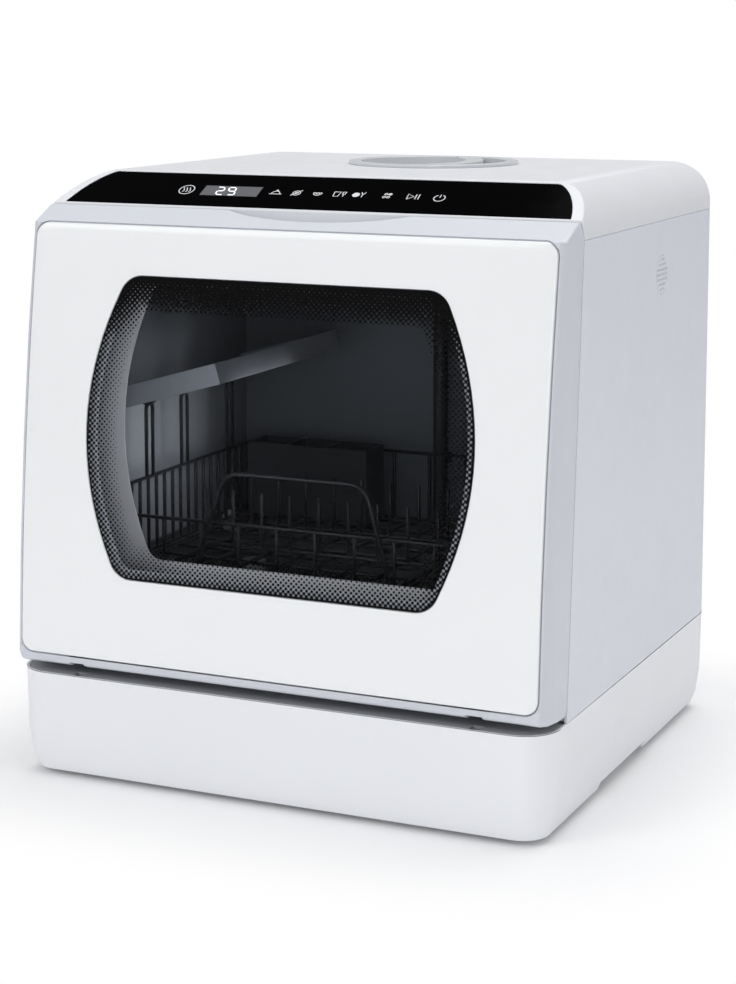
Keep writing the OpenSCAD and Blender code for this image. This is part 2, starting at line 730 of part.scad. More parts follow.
module tank_lid() {
    color("#DADCE0") difference() {
        union() {
            rod_z(lid_x, lid_y, body_h, body_h + lid_up, lid_r);
            rod_z(lid_x, lid_y, body_h - 14, body_h + 0.5, plug_r);
        }
        difference() {
            rod_z(lid_x, lid_y, body_h - 11, body_h + lid_up + 1, lid_r - 10);
            // curved grip bar across the recess
            intersection() {
                difference() {
                    rod_z(lid_x - 62, lid_y, body_h - 12, body_h + lid_up, 98);
                    rod_z(lid_x - 62, lid_y, body_h - 13, body_h + lid_up + 2, 84);
                }
                rod_z(lid_x, lid_y, body_h - 12, body_h + lid_up - 0.5, lid_r - 9);
            }
        }
    }
}
module sump() {
    color("#3A3C40") difference() {
        union() {
            rod_z(0, tub_cy, 24, tub_z0 - tub_t, sump_r);
            rod_x(sump_r - 6, sump_r + 14, tub_cy, 40, 9);
            rod_x(-sump_r - 14, -sump_r + 6, tub_cy, 40, 9);
            rod_y(-40, tub_cy + 20, tub_cy + sump_r, 62, 6);
        }
        rod_z(0, tub_cy, 27, tub_z0, sump_r - 3);
        rod_x(sump_r - 12, sump_r + 15, tub_cy, 40, 7);
        rod_x(-sump_r - 15, -sump_r + 12, tub_cy, 40, 7);
        rod_y(-40, tub_cy, tub_cy + sump_r + 1, 62, 4);
    }
    color("#3A3C40") rod_z(0, tub_cy, 26, lower_z + 10.5, pipe_r);
}
module mesh_filter() {
    color("silver") difference() {
        rod_z(0, tub_cy, tub_z0 + 0.1, tub_z0 + 1.3, sump_r - 5);
        rod_z(cup_x, tub_cy, tub_z0 - 1, tub_z0 + 4, cup_r + 0.6);
        rod_z(0, tub_cy, tub_z0 - 1, tub_z0 + 4, pipe_r + fit);
    }
}
module filter_cup() {
    color("#4A6A8A") translate([cup_x, tub_cy, 0]) difference() {
        union() {
            rod_z(0, 0, tub_z0 - 44, tub_z0 + 1.4, cup_r);
            rod_z(0, 0, tub_z0 + 1.4, tub_z0 + 4, cup_r + 4);
        }
        rod_z(0, 0, tub_z0 - 42, tub_z0 + 5, cup_r - 2);
    }
}
module heater() {
    color("#8F9296") union() {
        translate([0, tub_cy, tub_z0 + 6]) rotate_extrude($fn = 72)
            translate([heater_r, 0]) circle(3, $fn = 24);
        for (x = [-8, 8]) rod_z(x, tub_cy + heater_r, base_h - 14, tub_z0 + 6, 3);
    }
}
module wash_pump() {
    color("#2E3034") union() {
        rod_x(sump_r + 14, sump_r + 30, tub_cy, 40, 26);
        rod_x(sump_r + 30, sump_r + 84, tub_cy, 40, 22);
        rod_y(sump_r + 36, tub_cy, tub_cy + 36, 52, 7);
        box([sump_r + 40, tub_cy - 18, foot_h + wall], [sump_r + 74, tub_cy + 18, 30]);
    }
}
module drain_pump() {
    color("#6A6E74") union() {
        rod_x(-sump_r - 34, -sump_r - 14, tub_cy, 40, 20);
        rod_x(-sump_r - 66, -sump_r - 34, tub_cy, 40, 16);
        rod_y(-sump_r - 50, tub_cy, tub_cy + 30, 34, 7);
        box([-sump_r - 60, tub_cy - 12, foot_h + wall], [-sump_r - 40, tub_cy + 12, 30]);
    }
}
module inlet_valve() {
    color("#E8E8E4") difference() {
        union() {
            rod_y(inlet_x, y_back - 34, y_back - 7, inlet_z, inlet_dia / 2 + 4);
            rod_y(inlet_x, y_back - 7, y_back + 1, inlet_z, inlet_dia / 2 + collar);
            rod_y(inlet_x, y_back, y_back + spigot_out, inlet_z, inlet_dia / 2);
            box([inlet_x - 22, y_back - 66, foot_h + wall], [inlet_x + 22, y_back - 34, inlet_z + 16]);
        }
        rod_y(inlet_x, y_back - 20, y_back + spigot_out + 1, inlet_z, inlet_dia / 2 - 4);
    }
}
module drain_spigot() {
    color("#3A3C40") difference() {
        union() {
            rod_y(drain_x, y_back - 30, y_back - 7, drain_z, drain_dia / 2 + 3);
            rod_y(drain_x, y_back - 7, y_back + 1, drain_z, drain_dia / 2 + collar);
            rod_y(drain_x, y_back, y_back + spigot_out, drain_z, drain_dia / 2);
            box([drain_x - 14, y_back - 48, foot_h + wall], [drain_x + 14, y_back - 30, drain_z + 12]);
        }
        rod_y(drain_x, y_back - 26, y_back + spigot_out + 1, drain_z, drain_dia / 2 - 3);
    }
}
module cable_gland() {
    color("#202124") difference() {
        union() {
            rod_y(gland_x, y_back - 12, y_back + 8, gland_z, gland_r);
            rod_y(gland_x, y_back - 12, y_back - 6, gland_z, gland_r + 4);
        }
        rod_y(gland_x, y_back - 13, y_back + 9, gland_z, 4);
    }
}
module drying_fan() {
    x0 = tub_x + tub_t;
    color("#303236") difference() {
        union() {
            box([x0 + 3, vent_y - 22, vent_z - 22], [half_w - wall - 1, vent_y + 22, vent_z + 22]);
            rod_x(x0 - 0.5, x0 + 4, vent_y, vent_z, 11.7);
        }
        rod_x(x0 + 12, half_w, vent_y, vent_z, 17);
        rod_x(x0 - 2, x0 + 14, vent_y, vent_z, 9);
    }
}
module vent_grille() {
    color("#B9BCC4") difference() {
        union() {
            rod_x(half_w - wall - 0.8, half_w + 0.1, vent_y, vent_z, vent_r - 0.2);
            rod_x(half_w - wall - 0.9, half_w - wall, vent_y, vent_z, vent_r + 2);
        }
        for (i = [-3:3], j = [-3:3]) if (norm([i, j]) < 3.4)
            rod_x(half_w - 10, half_w + 2, vent_y + i * 3.8, vent_z + j * 3.8, 1.2);
    }
}
module float_switch() {
    color("#D8D8D2") union() {
        rod_z(float_x, float_y, base_h - 20, tub_z0 + 16, 6);
        rod_z(float_x, float_y, tub_z0 + 0.1, tub_z0 + 18, 10);
        box([float_x - 10, float_y - 8, base_h - 40], [float_x + 10, float_y + 8, base_h - 20]);
    }
}
module basket_rails() {
    color("#4A4C50") for (s = [-1, 1]) union() {
        y0 = seam_y + 17;
        y1 = tub_y1 - 12;
        box([s * (tub_x - 12) - 12, y0, rail_z - 4], [s * (tub_x - 12) + 12, y1, rail_z]);
        box([s * (tub_x - 2) - 2, y0, rail_z - 4], [s * (tub_x - 2) + 2, y1, rail_z + 14]);
    }
}
module spray_pipe() {
    top = tub_z1 - 10;
    color("#3A3C40") union() {
        rod_z(0, pipe_y, base_h - 6, top, pipe_r);
        translate([0, pipe_y, top]) sphere(pipe_r);
        rod_y(0, tub_cy, pipe_y, top, pipe_r);
        translate([0, tub_cy, top]) sphere(pipe_r);
        rod_z(0, tub_cy, upper_z - 4, top, pipe_r);
        for (z = [200, 340]) box([-7, pipe_y + 4, z], [7, tub_y1, z + 8]);
        box([-6, tub_cy + 60, top + 3], [6, tub_cy + 70, tub_z1]);
    }
}
module hoses() {
    r = 6;
    x1 = sump_r + 36;
    x2 = -sump_r - 50;
    color("#1E1F22") {
        // from the wash pump to the foot of the spray pipe
        rod_y(x1, tub_cy + 36, pipe_y, 52, r);
        translate([x1, pipe_y, 52]) sphere(r);
        rod_x(0, x1, pipe_y, 52, r);
        translate([0, pipe_y, 52]) sphere(r);
        rod_z(0, pipe_y, 52, base_h - 6, r);
        // from the drain pump to the drain spigot
        rod_y(x2, tub_cy + 30, pipe_y - 14, 34, r);
        translate([x2, pipe_y - 14, 34]) sphere(r);
        rod_x(x2, drain_x, pipe_y - 14, 34, r);
        translate([drain_x, pipe_y - 14, 34]) sphere(r);
        rod_y(drain_x, pipe_y - 14, y_back - 48, 34, r);
        // from the water tank to the sump
        rod_z(-40, y_back - 22, 62, base_h + 2, r);
        translate([-40, y_back - 22, 62]) sphere(r);
        rod_y(-40, tub_cy + sump_r, y_back - 22, 62, r);
    }
}
// Spray arm in its own frame: hub on the axis, blade along Y, bore from below or above
module spray_arm(bore_z0, bore_z1) {
    difference() {
        union() {
            cylinder(h = 14, r = 14);
            translate([0, 0, 3]) linear_extrude(8) union() {
                square([arm_w, 2 * arm_r - arm_w], center = true);
                for (s = [-1, 1]) translate([0, s * (arm_r - arm_w / 2)]) circle(arm_w / 2);
            }
        }
        translate([0, 0, bore_z0]) cylinder(h = bore_z1 - bore_z0, r = pipe_r + running_fit);
        // spray nozzles
        for (s = [-1, 1], i = [0:4])
            translate([s * 4 * pow(-1, i), s * (24 + 17 * i), 9]) cylinder(h = 3, r = 1.2);
    }
}
module lower_spray_arm() {
    color("#5A5E64") translate([0, tub_cy, lower_z]) spray_arm(-1, 11);
}
module upper_spray_arm() {
    color("#5A5E64") translate([0, tub_cy, upper_z - 7]) spray_arm(2.9, 15);
}

// ---- Basket ----
// Wire from a to b, which differ along one axis only
module wire(a, b) {
    d = b - a;
    translate(a) rotate(d[0] > 0 ? [0, 90, 0] : d[1] > 0 ? [-90, 0, 0] : [0, 0, 0])
        cylinder(h = norm(d), r = wire_r, $fn = 8);
}
module basket_floor() {
    x = basket_w / 2 - side_in;
    color("#1C1D20") union() {
        for (i = [0:7]) let (y = basket_y0 + 6 + i * (basket_d - 12) / 7)
            wire([-x, y, low_z], [x, y, low_z]);
        for (i = [0:11]) let (px = -basket_w / 2 + (i + 0.5) * basket_w / 12)
            wire([px, basket_y0 + side_in, upp_z], [px, basket_y1 - side_in, upp_z]);
    }
}
// Upright wall across the basket at y, up to height z
module cross_wall(y, z) {
    x = basket_w / 2 - side_in;
    union() {
        for (h = [upp_z, z]) wire([-x, y, h], [x, y, h]);
        for (i = [0:10]) let (px = -x + 2 + i * (x - 2) / 5) wire([px, y, upp_z], [px, y, z]);
    }
}
module basket_front() {
    color("#1C1D20") cross_wall(basket_y0, front_rim_z);
}
module basket_rear() {
    color("#1C1D20") cross_wall(basket_y1, rim_z);
}
module side_wall(s) {
    x = s * basket_w / 2;
    union() {
        for (h = [low_z, rim_z]) wire([x, basket_y0, h], [x, basket_y1, h]);
        for (i = [0:17]) let (y = basket_y0 + i * basket_d / 17) wire([x, y, low_z], [x, y, rim_z]);
        for (y = [basket_y0 + roller_in, basket_y1 - roller_in]) {
            box([x - wire_r, y - 7, roller_z - 6], [x + wire_r, y + 7, basket_z + 4]);
            axle(s, y);
        }
    }
}
// Axle of a roller on the side s, with its shoulder and its head
module axle(s, y) {
    x0 = basket_w / 2;
    translate([0, y, roller_z]) rotate([0, s * 90, 0]) {
        translate([0, 0, x0]) cylinder(h = roller_x - x0 + roller_w + 2, r = axle_r);
        translate([0, 0, x0]) cylinder(h = roller_x - x0 - 0.2, r = 4);
        translate([0, 0, roller_x + roller_w + 0.3]) cylinder(h = 1.7, r = 3.8);
    }
}
module roller(s, y) {
    translate([0, y, roller_z]) rotate([0, s * 90, 0]) translate([0, 0, roller_x]) difference() {
        cylinder(h = roller_w, r = roller_r);
        translate([0, 0, -1]) cylinder(h = roller_w + 2, r = axle_r + running_fit);
    }
}
module basket_side_left() {
    x = -basket_w / 2;
    color("#1C1D20") union() {
        side_wall(-1);
        for (y = post_y) {
            for (d = [-5, 5]) wire([x, y + d, rim_z], [x, y + d, shelf_hinge_z - 5]);
            difference() {
                union() {
                    rod_y(x, y - 6.5, y + 6.5, shelf_hinge_z, 4);
                    box([x - wire_r, y - 6.5, shelf_hinge_z - 8], [x + wire_r, y + 6.5, shelf_hinge_z - 2]);
                }
                rod_y(x, y - 8, y + 8, shelf_hinge_z, 2 + running_fit);
            }
        }
    }
}
module basket_side_right() {
    color("#1C1D20") side_wall(1);
}
// Outline of the handle loop: a band of the width w inside a trapezoid
module handle_outline() {
    top = basket_z + handle_up;
    bar = 5;
    foot = bar + 0.4;
    x = [-104, -75, -68, 38, 45, 67];
    difference() {
        polygon([[x[0], low_z], [x[1], top - 6], [x[2], top], [x[3], top], [x[4], top - 7], [x[5], low_z]]);
        polygon([[x[0] + foot, low_z - 1], [x[1] + bar, top - bar - 3], [x[2] + 2, top - bar],
                 [x[3] - 3, top - bar], [x[4] - bar, top - bar - 4], [x[5] - foot, low_z - 1]]);
    }
}
module basket_handle() {
    y = basket_y0 - wire_r - 0.1;
    color("#1C1D20") across(y - 4, y) handle_outline();
}
module plate_tines() {
    z = basket_z + 2.9 * wire_r;
    color("#1C1D20") for (y = [tub_cy - 42, tub_cy + 38]) union() {
        wire([-tine_x - 3, y, z], [tine_x + 3, y, z]);
        for (i = [0:10]) let (x = tine_x * (i / 5 - 1)) wire([x, y, z], [x, y, z + 44]);
    }
}
module cutlery_holder() {
    a = [-150, basket_y1 - 40, upp_z + wire_r + 0.1];
    b = [-40, basket_y1 - 4, rim_z + 6];
    t = 2;
    bay = (b[0] - a[0] - t) / 3;
    color("#3A3C40") difference() {
        box(a, b);
        for (i = [0:2])
            box([a[0] + t + i * bay, a[1] + t, a[2] + t], [a[0] + (i + 1) * bay, b[1] - t, b[2] + 1]);
    }
}
// Shelf for cups: a slotted tray with a rim on three sides, which folds up about its outer edge
module cup_shelf() {
    y0 = basket_y0;
    y1 = basket_y1 - 6;
    tab_y = [post_y[0] - 11, (post_y[0] + post_y[1]) / 2, (post_y[1] + post_y[2]) / 2, post_y[2] + 11];
    slots = 6;
    pitch = (y1 - y0 - 20) / slots;
    color("#6A6C70") translate([-basket_w / 2, 0, shelf_hinge_z]) rotate([0, -shelf_tilt, 0]) union() {
        rod_y(0, tab_y[0] - 1, tab_y[3] + 1, 0, 2);
        for (y = tab_y) box([0, y - 3, -1.5], [8, y + 3, 1.5]);
        difference() {
            box([6, y0, -1.5], [shelf_w, y1, 1.5]);
            for (i = [1:slots]) box([16, y0 + pitch * (i - 0.5), -3], [shelf_w - 12, y0 + pitch * i, 3]);
        }
        box([shelf_w - 3, y0, 0], [shelf_w, y1, shelf_rim]);
        for (y = [y0, y1 - 3]) box([-4, y, -1.5], [shelf_w, y + 3, shelf_rim]);
    }
}
module roller_front_left() {
    color("#D8D9DB") roller(-1, basket_y0 + roller_in);
}
module roller_front_right() {
    color("#D8D9DB") roller(1, basket_y0 + roller_in);
}
module roller_rear_left() {
    color("#D8D9DB") roller(-1, basket_y1 - roller_in);
}
module roller_rear_right() {
    color("#D8D9DB") roller(1, basket_y1 - roller_in);
}

base_housing();
base_sill();
feet();
chassis_plate();
side_panel_left();
side_panel_right();
back_panel();
top_cover();
control_panel();
control_board();
front_frame();
tub();
door_seal();
hinge_brackets();
latch_switch();
water_tank();
fill_funnel();
tank_lid();
sump();
mesh_filter();
filter_cup();
heater();
wash_pump();
drain_pump();
inlet_valve();
drain_spigot();
cable_gland();
drying_fan();
vent_grille();
float_switch();
basket_rails();
spray_pipe();
lower_spray_arm();
upper_spray_arm();
door_frame();
door_plate();
window_glass();
door_liner();
inner_glass();
latch_hook();
hinge_pins();
detergent_box();
detergent_lid();
basket_floor();
basket_front();
basket_rear();
basket_side_left();
basket_side_right();
basket_handle();
plate_tines();
roller_front_left();
roller_front_right();
roller_rear_left();
roller_rear_right();
cutlery_holder();
cup_shelf();
panel_screws();
hoses();
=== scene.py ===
"""Looks of a countertop dishwasher, built round its packed construction model.

Lengths are in metres in the frame of the construction: X across the front, Y into the
cabinet, Z up from the worktop. A size that ends in _mm is in millimetres.
"""
import json
import logging
import math
from dataclasses import dataclass, field, replace
from enum import Enum

import bmesh
import bpy
import numpy as np
from mathutils import Matrix, Vector

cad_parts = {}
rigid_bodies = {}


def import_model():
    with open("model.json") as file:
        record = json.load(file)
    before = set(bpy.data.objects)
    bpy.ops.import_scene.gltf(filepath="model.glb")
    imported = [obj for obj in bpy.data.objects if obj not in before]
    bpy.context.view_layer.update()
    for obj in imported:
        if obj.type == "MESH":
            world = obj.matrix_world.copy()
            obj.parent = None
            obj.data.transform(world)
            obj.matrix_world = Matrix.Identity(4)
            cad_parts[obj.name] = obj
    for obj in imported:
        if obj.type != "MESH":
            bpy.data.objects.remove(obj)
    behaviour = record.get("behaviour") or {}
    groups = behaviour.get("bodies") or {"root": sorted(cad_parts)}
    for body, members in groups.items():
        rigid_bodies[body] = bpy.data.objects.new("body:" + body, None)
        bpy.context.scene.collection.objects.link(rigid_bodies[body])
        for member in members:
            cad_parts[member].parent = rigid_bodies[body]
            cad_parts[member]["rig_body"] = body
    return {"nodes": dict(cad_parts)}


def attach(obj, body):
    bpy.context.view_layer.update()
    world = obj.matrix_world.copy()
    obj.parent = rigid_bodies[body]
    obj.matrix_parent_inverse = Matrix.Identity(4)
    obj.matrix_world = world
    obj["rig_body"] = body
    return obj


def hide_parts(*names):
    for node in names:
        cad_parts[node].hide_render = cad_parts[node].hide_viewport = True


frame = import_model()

LOG = logging.getLogger("dishwasher")
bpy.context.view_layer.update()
MM = 0.001
SAME_POINT = 2e-6  # points closer than this are one
FLAT_TURN = math.radians(0.4)  # faces that turn by less are one face
EDGE_TURN = math.radians(32)  # edges that turn by more are rounded

Array = np.ndarray
Shape = tuple[Array, list]  # points, and the point numbers of each face
Point = tuple[float, float, float]
Span = tuple[float, float]
Piece = bpy.types.Object
Tree = bpy.types.NodeTree
Node = bpy.types.Node
Source = bpy.types.Node | bpy.types.NodeSocket


# ---- Small tools for colours and nodes ----
def linear(hex_code: str) -> tuple[float, float, float, float]:
    """Turns an sRGB hex colour into a linear one.

    Args:
        hex_code: six hex digits with a leading #.

    Returns:
        Red, green, blue and alpha, linear.
    """
    parts = [int(hex_code[i:i + 2], 16) / 255 for i in (1, 3, 5)]
    lin = [p / 12.92 if p <= 0.04045 else ((p + 0.055) / 1.055) ** 2.4 for p in parts]
    return (*lin, 1.0)


def add(tree: Tree, kind: str, inputs: dict | None = None, **settings) -> Node:
    """Adds one shader node with its settings and links.

    Args:
        tree: node tree that takes the node.
        kind: node type without its "ShaderNode" prefix.
        inputs: socket name or number to a constant, to the output that feeds it, or to a
            node whose first output does.
        settings: properties of the node.

    Returns:
        The new node.
    """
    node = tree.nodes.new("ShaderNode" + kind)
    for name, value in settings.items():
        setattr(node, name, value)
    for key, value in (inputs or {}).items():
        if isinstance(value, Node):
            value = value.outputs[0]
        if isinstance(value, bpy.types.NodeSocket):
            tree.links.new(value, node.inputs[key])
        else:
            node.inputs[key].default_value = value
    return node


def uneven(tree: Tree, size_mm: float, detail: float = 2.0) -> Source:
    """Uneven pattern in object coordinates.

    Args:
        tree: node tree that takes it.
        size_mm: spacing of its features.
        detail: how many finer layers it has.

    Returns:
        The output that gives it, 0 to 1.
    """
    where = add(tree, "TexCoord").outputs["Object"]
    return add(tree, "TexNoise", {"Vector": where, "Scale": 1 / (size_mm * MM),
                                  "Detail": detail}).outputs["Fac"]


# ---- Finishes ----
MOTTLE_MM = 60  # spacing of the slow wander of a colour
WIPE_MM = 18  # spacing of the wander of a roughness
GRAIN_DEPTH = 0.12  # depth of the surface grain, as a share of its spacing
USUAL = (0.3, 0.7)  # limits that an uneven pattern seldom leaves
LEAST_ROUGHNESS = 0.02
COAT_ROUGHNESS = 0.05


@dataclass(frozen=True)
class Finish:
    """A surface finish: what the material is and how it was made.

    Attributes:
        name: common name of the material and its process.
        colour: sRGB hex colour.
        roughness: middle of its roughness.
        grain_mm: spacing of its surface grain.
        grain: height of the grain, 0 to 1 of the bump's strength.
        mottle: share by which its colour wanders over the surface.
        metallic: 1 for bare metal.
        spread: how far roughness wanders up and down.
        coat: clear gloss on top.
        mirror: strength of its mirror, 0.5 for common plastic or glass.
        glow: light that it gives off itself.
    """

    name: str
    colour: str
    roughness: float = 0.4
    grain_mm: float = 0.8
    grain: float = 0.15
    mottle: float = 0.03
    metallic: float = 0.0
    spread: float = 0.06
    coat: float = 0.0
    mirror: float = 0.5
    glow: float = 0.0

    def material(self) -> bpy.types.Material:
        """Builds the finish once, and returns it again on later calls.

        Returns:
            The material.
        """
        found = bpy.data.materials.get(self.name)
        if found:
            return found
        made = bpy.data.materials.new(self.name)
        made.use_nodes = True
        made.node_tree.nodes.clear()
        add(made.node_tree, "OutputMaterial", {"Surface": self.shade(made.node_tree)})
        return made

    def tint(self, tree: Tree) -> Source | tuple:
        """Base colour with the slow, slight wander of the real material.

        Args:
            tree: node tree that takes it.

        Returns:
            The colour, or what gives it.
        """
        base = linear(self.colour)
        if not self.mottle:
            return base
        dark = tuple(c * (1 - 2 * self.mottle) for c in base[:3]) + (1.0,)
        slow = uneven(tree, MOTTLE_MM, 3.0)
        return add(tree, "MixRGB", {"Fac": slow, "Color1": dark, "Color2": base})

    def gloss(self, tree: Tree) -> Source:
        """Roughness, which wanders with handling and wiping.

        Args:
            tree: node tree that takes it.

        Returns:
            What gives the roughness.
        """
        return add(tree, "MapRange", {
            "Value": uneven(tree, WIPE_MM, 4.0), "From Min": USUAL[0], "From Max": USUAL[1],
            "To Min": max(self.roughness - self.spread, LEAST_ROUGHNESS),
            "To Max": self.roughness + self.spread})

    def relief(self, tree: Tree) -> Source:
        """Normal with the surface grain on it.

        Args:
            tree: node tree that takes it.

        Returns:
            What gives the normal.
        """
        fine = uneven(tree, self.grain_mm)
        return add(tree, "Bump", {"Height": fine, "Strength": self.grain,
                                  "Distance": self.grain_mm * MM * GRAIN_DEPTH})

    def shade(self, tree: Tree) -> Source:
        """Joins colour, roughness and relief in one surface shader.

        Args:
            tree: node tree that takes it.

        Returns:
            The shader.
        """
        return add(tree, "BsdfPrincipled", {
            "Base Color": self.tint(tree), "Roughness": self.gloss(tree),
            "Normal": self.relief(tree), "Metallic": self.metallic, "Coat Weight": self.coat,
            "Coat Roughness": COAT_ROUGHNESS, "Specular IOR Level": self.mirror,
            "Emission Color": linear(self.colour), "Emission Strength": self.glow})


# ---- Small tools for meshes ----
def grid_faces(rows: int, cols: int, ring: bool = False, loop: bool = False) -> Array:
    """Quads that join a grid of points.

    Args:
        rows: rows of points, counted along the first parameter.
        cols: points in a row.
        ring: True if each row closes on itself.
        loop: True if the last row joins the first.

    Returns:
        One row of four point numbers for each quad.
    """
    across = np.arange(cols if ring else cols - 1)
    down = np.arange(rows if loop else rows - 1)[:, None]
    near, far = down * cols, ((down + 1) % rows) * cols
    here, there = across, (across + 1) % cols
    return np.stack([near + here, near + there, far + there, far + here], -1).reshape(-1, 4)


def capped(rows: int, cols: int) -> list:
    """Faces of a tube of rings that is closed at both ends.

    Args:
        rows: number of rings.
        cols: points in a ring.

    Returns:
        Point numbers of each face.
    """
    last = (rows - 1) * cols
    ends = [list(range(cols))[::-1], list(range(last, last + cols))]
    return grid_faces(rows, cols, ring=True).tolist() + ends


def surface_mesh(name: str, points: Array, faces: list | Array, sharp: float = 40.0) -> Piece:
    """Makes a smooth-shaded object from points and faces.

    Args:
        name: name of the piece.
        points: its points.
        faces: point numbers of its faces.
        sharp: edges that turn by more degrees than this stay sharp.

    Returns:
        The object, at the origin.
    """
    data = bpy.data.meshes.new(name)
    points = np.asarray(points, float).reshape(-1, 3)
    data.from_pydata(points, [], [list(map(int, f)) for f in faces])
    data.update()
    data.shade_smooth()
    data.set_sharp_from_angle(angle=math.radians(sharp))
    piece = bpy.data.objects.new(name, data)
    bpy.context.scene.collection.objects.link(piece)
    return piece


def outward(piece: Piece) -> Piece:
    """Merges doubled points of a closed piece and turns its faces outwards.

    Args:
        piece: a closed piece.

    Returns:
        The same piece.
    """
    work = bmesh.new()
    work.from_mesh(piece.data)
    bmesh.ops.remove_doubles(work, verts=work.verts, dist=SAME_POINT)
    bmesh.ops.recalc_face_normals(work, faces=work.faces)
    work.to_mesh(piece.data)
    work.free()
    return piece


def finished(piece: Piece, body: str, finish: Finish, *nodes: str) -> Piece:
    """Dresses a new piece, makes it ride on a body and lets it stand for CAD nodes.

    Args:
        piece: the new piece.
        body: body that it rides on.
        finish: what it is made of.
        nodes: CAD nodes that it stands for.

    Returns:
        The same piece.
    """
    piece.data.materials.clear()
    piece.data.materials.append(finish.material())
    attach(piece, body)
    if nodes:
        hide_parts(*nodes)
    return piece


def solid(name: str, shape: Shape, sharp: float, body: str, finish: Finish, *nodes: str) -> Piece:
    """Makes and dresses a closed piece from its points and faces."""
    return finished(outward(surface_mesh(name, *shape, sharp)), body, finish, *nodes)


def skin(node: str, finish: Finish, edge_mm: float, held: bool) -> Piece:
    """Copies a CAD node, rounds the copy's edges and lets it stand for the node.

    Args:
        node: name of the CAD node.
        finish: what it is made of.
        edge_mm: width of the rounding.
        held: True if the rounding is kept narrow enough not to meet its neighbour.

    Returns:
        The new piece.
    """
    source = frame["nodes"][node]
    work = bmesh.new()
    work.from_mesh(source.data)
    bmesh.ops.remove_doubles(work, verts=work.verts, dist=SAME_POINT)
    bmesh.ops.dissolve_limit(work, angle_limit=FLAT_TURN, verts=work.verts, edges=work.edges)
    data = bpy.data.meshes.new(node + "_shape")
    work.to_mesh(data)
    work.free()
    if "custom_normal" in data.attributes:
        data.attributes.remove(data.attributes["custom_normal"])
    data.shade_smooth()
    data.set_sharp_from_angle(angle=EDGE_TURN)
    piece = bpy.data.objects.new(node + "_shape", data)
    bpy.context.scene.collection.objects.link(piece)
    if edge_mm:
        bevel = piece.modifiers.new("rounded_edges", "BEVEL")
        bevel.width = edge_mm * MM
        bevel.segments = 2
        bevel.limit_method = "ANGLE"
        bevel.angle_limit = EDGE_TURN
        bevel.use_clamp_overlap = held
    even = piece.modifiers.new("even_normals", "WEIGHTED_NORMAL")
    even.keep_sharp = True
    return finished(piece, source["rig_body"], finish, node)


def bend(corners: Array, radius: float, steps: int = 7) -> Array:
    """Points along a polyline whose inner corners are eased.

    Each corner c becomes the curve (1-t)^2 a + 2t(1-t) c + t^2 b, where a and b lie radius
    before and after it.

    Args:
        corners: points of the polyline.
        radius: how far a bend reaches to each side of its corner.
        steps: points of a bend.

    Returns:
        Rows of points.
    """
    c = corners[1:-1]
    back, ahead = corners[:-2] - c, corners[2:] - c
    a = c + radius * back / np.linalg.norm(back, axis=1, keepdims=True)
    b = c + radius * ahead / np.linalg.norm(ahead, axis=1, keepdims=True)
    t = np.linspace(0, 1, steps)[:, None, None]
    eased = (1 - t) ** 2 * a + 2 * t * (1 - t) * c + t ** 2 * b
    return np.concatenate([corners[:1], eased.transpose(1, 0, 2).reshape(-1, 3), corners[-1:]])


TIP_LENGTH, TIP_WIDTH = 0.35, 0.7  # of a dipped end, as shares of the rod's radius


def rod(path: Array, side: Point, radius: float, sides: int = 12) -> Shape:
    """Round rod along a path that lies in one plane.

    Ring i is path[i] + radius (cos a * side + sin a * (along x side)), with side square to the
    plane. The last rings are drawn in a little, so that the ends look dipped.

    Args:
        path: points of the path.
        side: unit vector square to the path's plane.
        radius: radius of the rod.
        sides: points in a ring.

    Returns:
        Its points and its faces.
    """
    along = np.gradient(path, axis=0)
    along /= np.linalg.norm(along, axis=1, keepdims=True)
    tip = TIP_LENGTH * radius
    path = np.concatenate([path[:1], path[:1] + tip * along[:1], path[1:-1],
                           path[-1:] - tip * along[-1:], path[-1:]])
    along = np.concatenate([along[:1], along, along[-1:]])
    size = np.full(len(path), radius)
    size[[0, -1]] = TIP_WIDTH * radius
    side = np.array(side, float)
    across = np.cross(along, side)
    a = np.linspace(0, 2 * np.pi, sides, endpoint=False)[None, :, None]
    ring = np.cos(a) * side + np.sin(a) * across[:, None, :]
    points = (path[:, None, :] + size[:, None, None] * ring).reshape(-1, 3)
    return points, capped(len(path), sides)


def gather(parts: list[Shape]) -> Shape:
    """Joins several sets of points and faces in one.

    Args:
        parts: sets of points and faces.

    Returns:
        All their points and faces.
    """
    starts = np.cumsum([0] + [len(p) for p, _ in parts[:-1]])
    faces = [[int(i) + int(s) for i in f] for (_, fs), s in zip(parts, starts) for f in fs]
    return np.concatenate([p for p, _ in parts]), faces


def spun(profile: Array, centre: Point, axis: int, turns: int) -> Shape:
    """Turns a closed profile of radius and height round an axis through a centre.

    A point is (r cos a, r sin a, h), with its coordinates rolled on so that h runs along the axis.

    Args:
        profile: rows of radius and height, all off the axis.
        centre: point of the axis at height 0.
        axis: 0, 1 or 2 for X, Y or Z.
        turns: points in one turn.

    Returns:
        Its points and its faces.
    """
    a = np.linspace(0, 2 * np.pi, turns, endpoint=False)
    r, h = profile[:, :1], profile[:, 1:]
    points = np.roll(np.stack([r * np.cos(a), r * np.sin(a), h + 0 * a], -1), (axis + 1) % 3, -1)
    faces = grid_faces(len(profile), turns, ring=True, loop=True).tolist()
    return (points + np.array(centre)).reshape(-1, 3), faces


def sleeve(bore: float, radius: float, length: float, ease: float) -> Array:
    """Closed profile of a tube with eased edges, centred on height 0.

    Args:
        bore: inner radius.
        radius: outer radius.
        length: length of the tube.
        ease: how far each edge is cut back.

    Returns:
        Rows of radius and height.
    """
    h = length / 2
    return np.array([(bore, -h + ease), (bore + ease, -h), (radius - ease, -h), (radius, -h + ease),
                     (radius, h - ease), (radius - ease, h), (bore + ease, h), (bore, h - ease)])


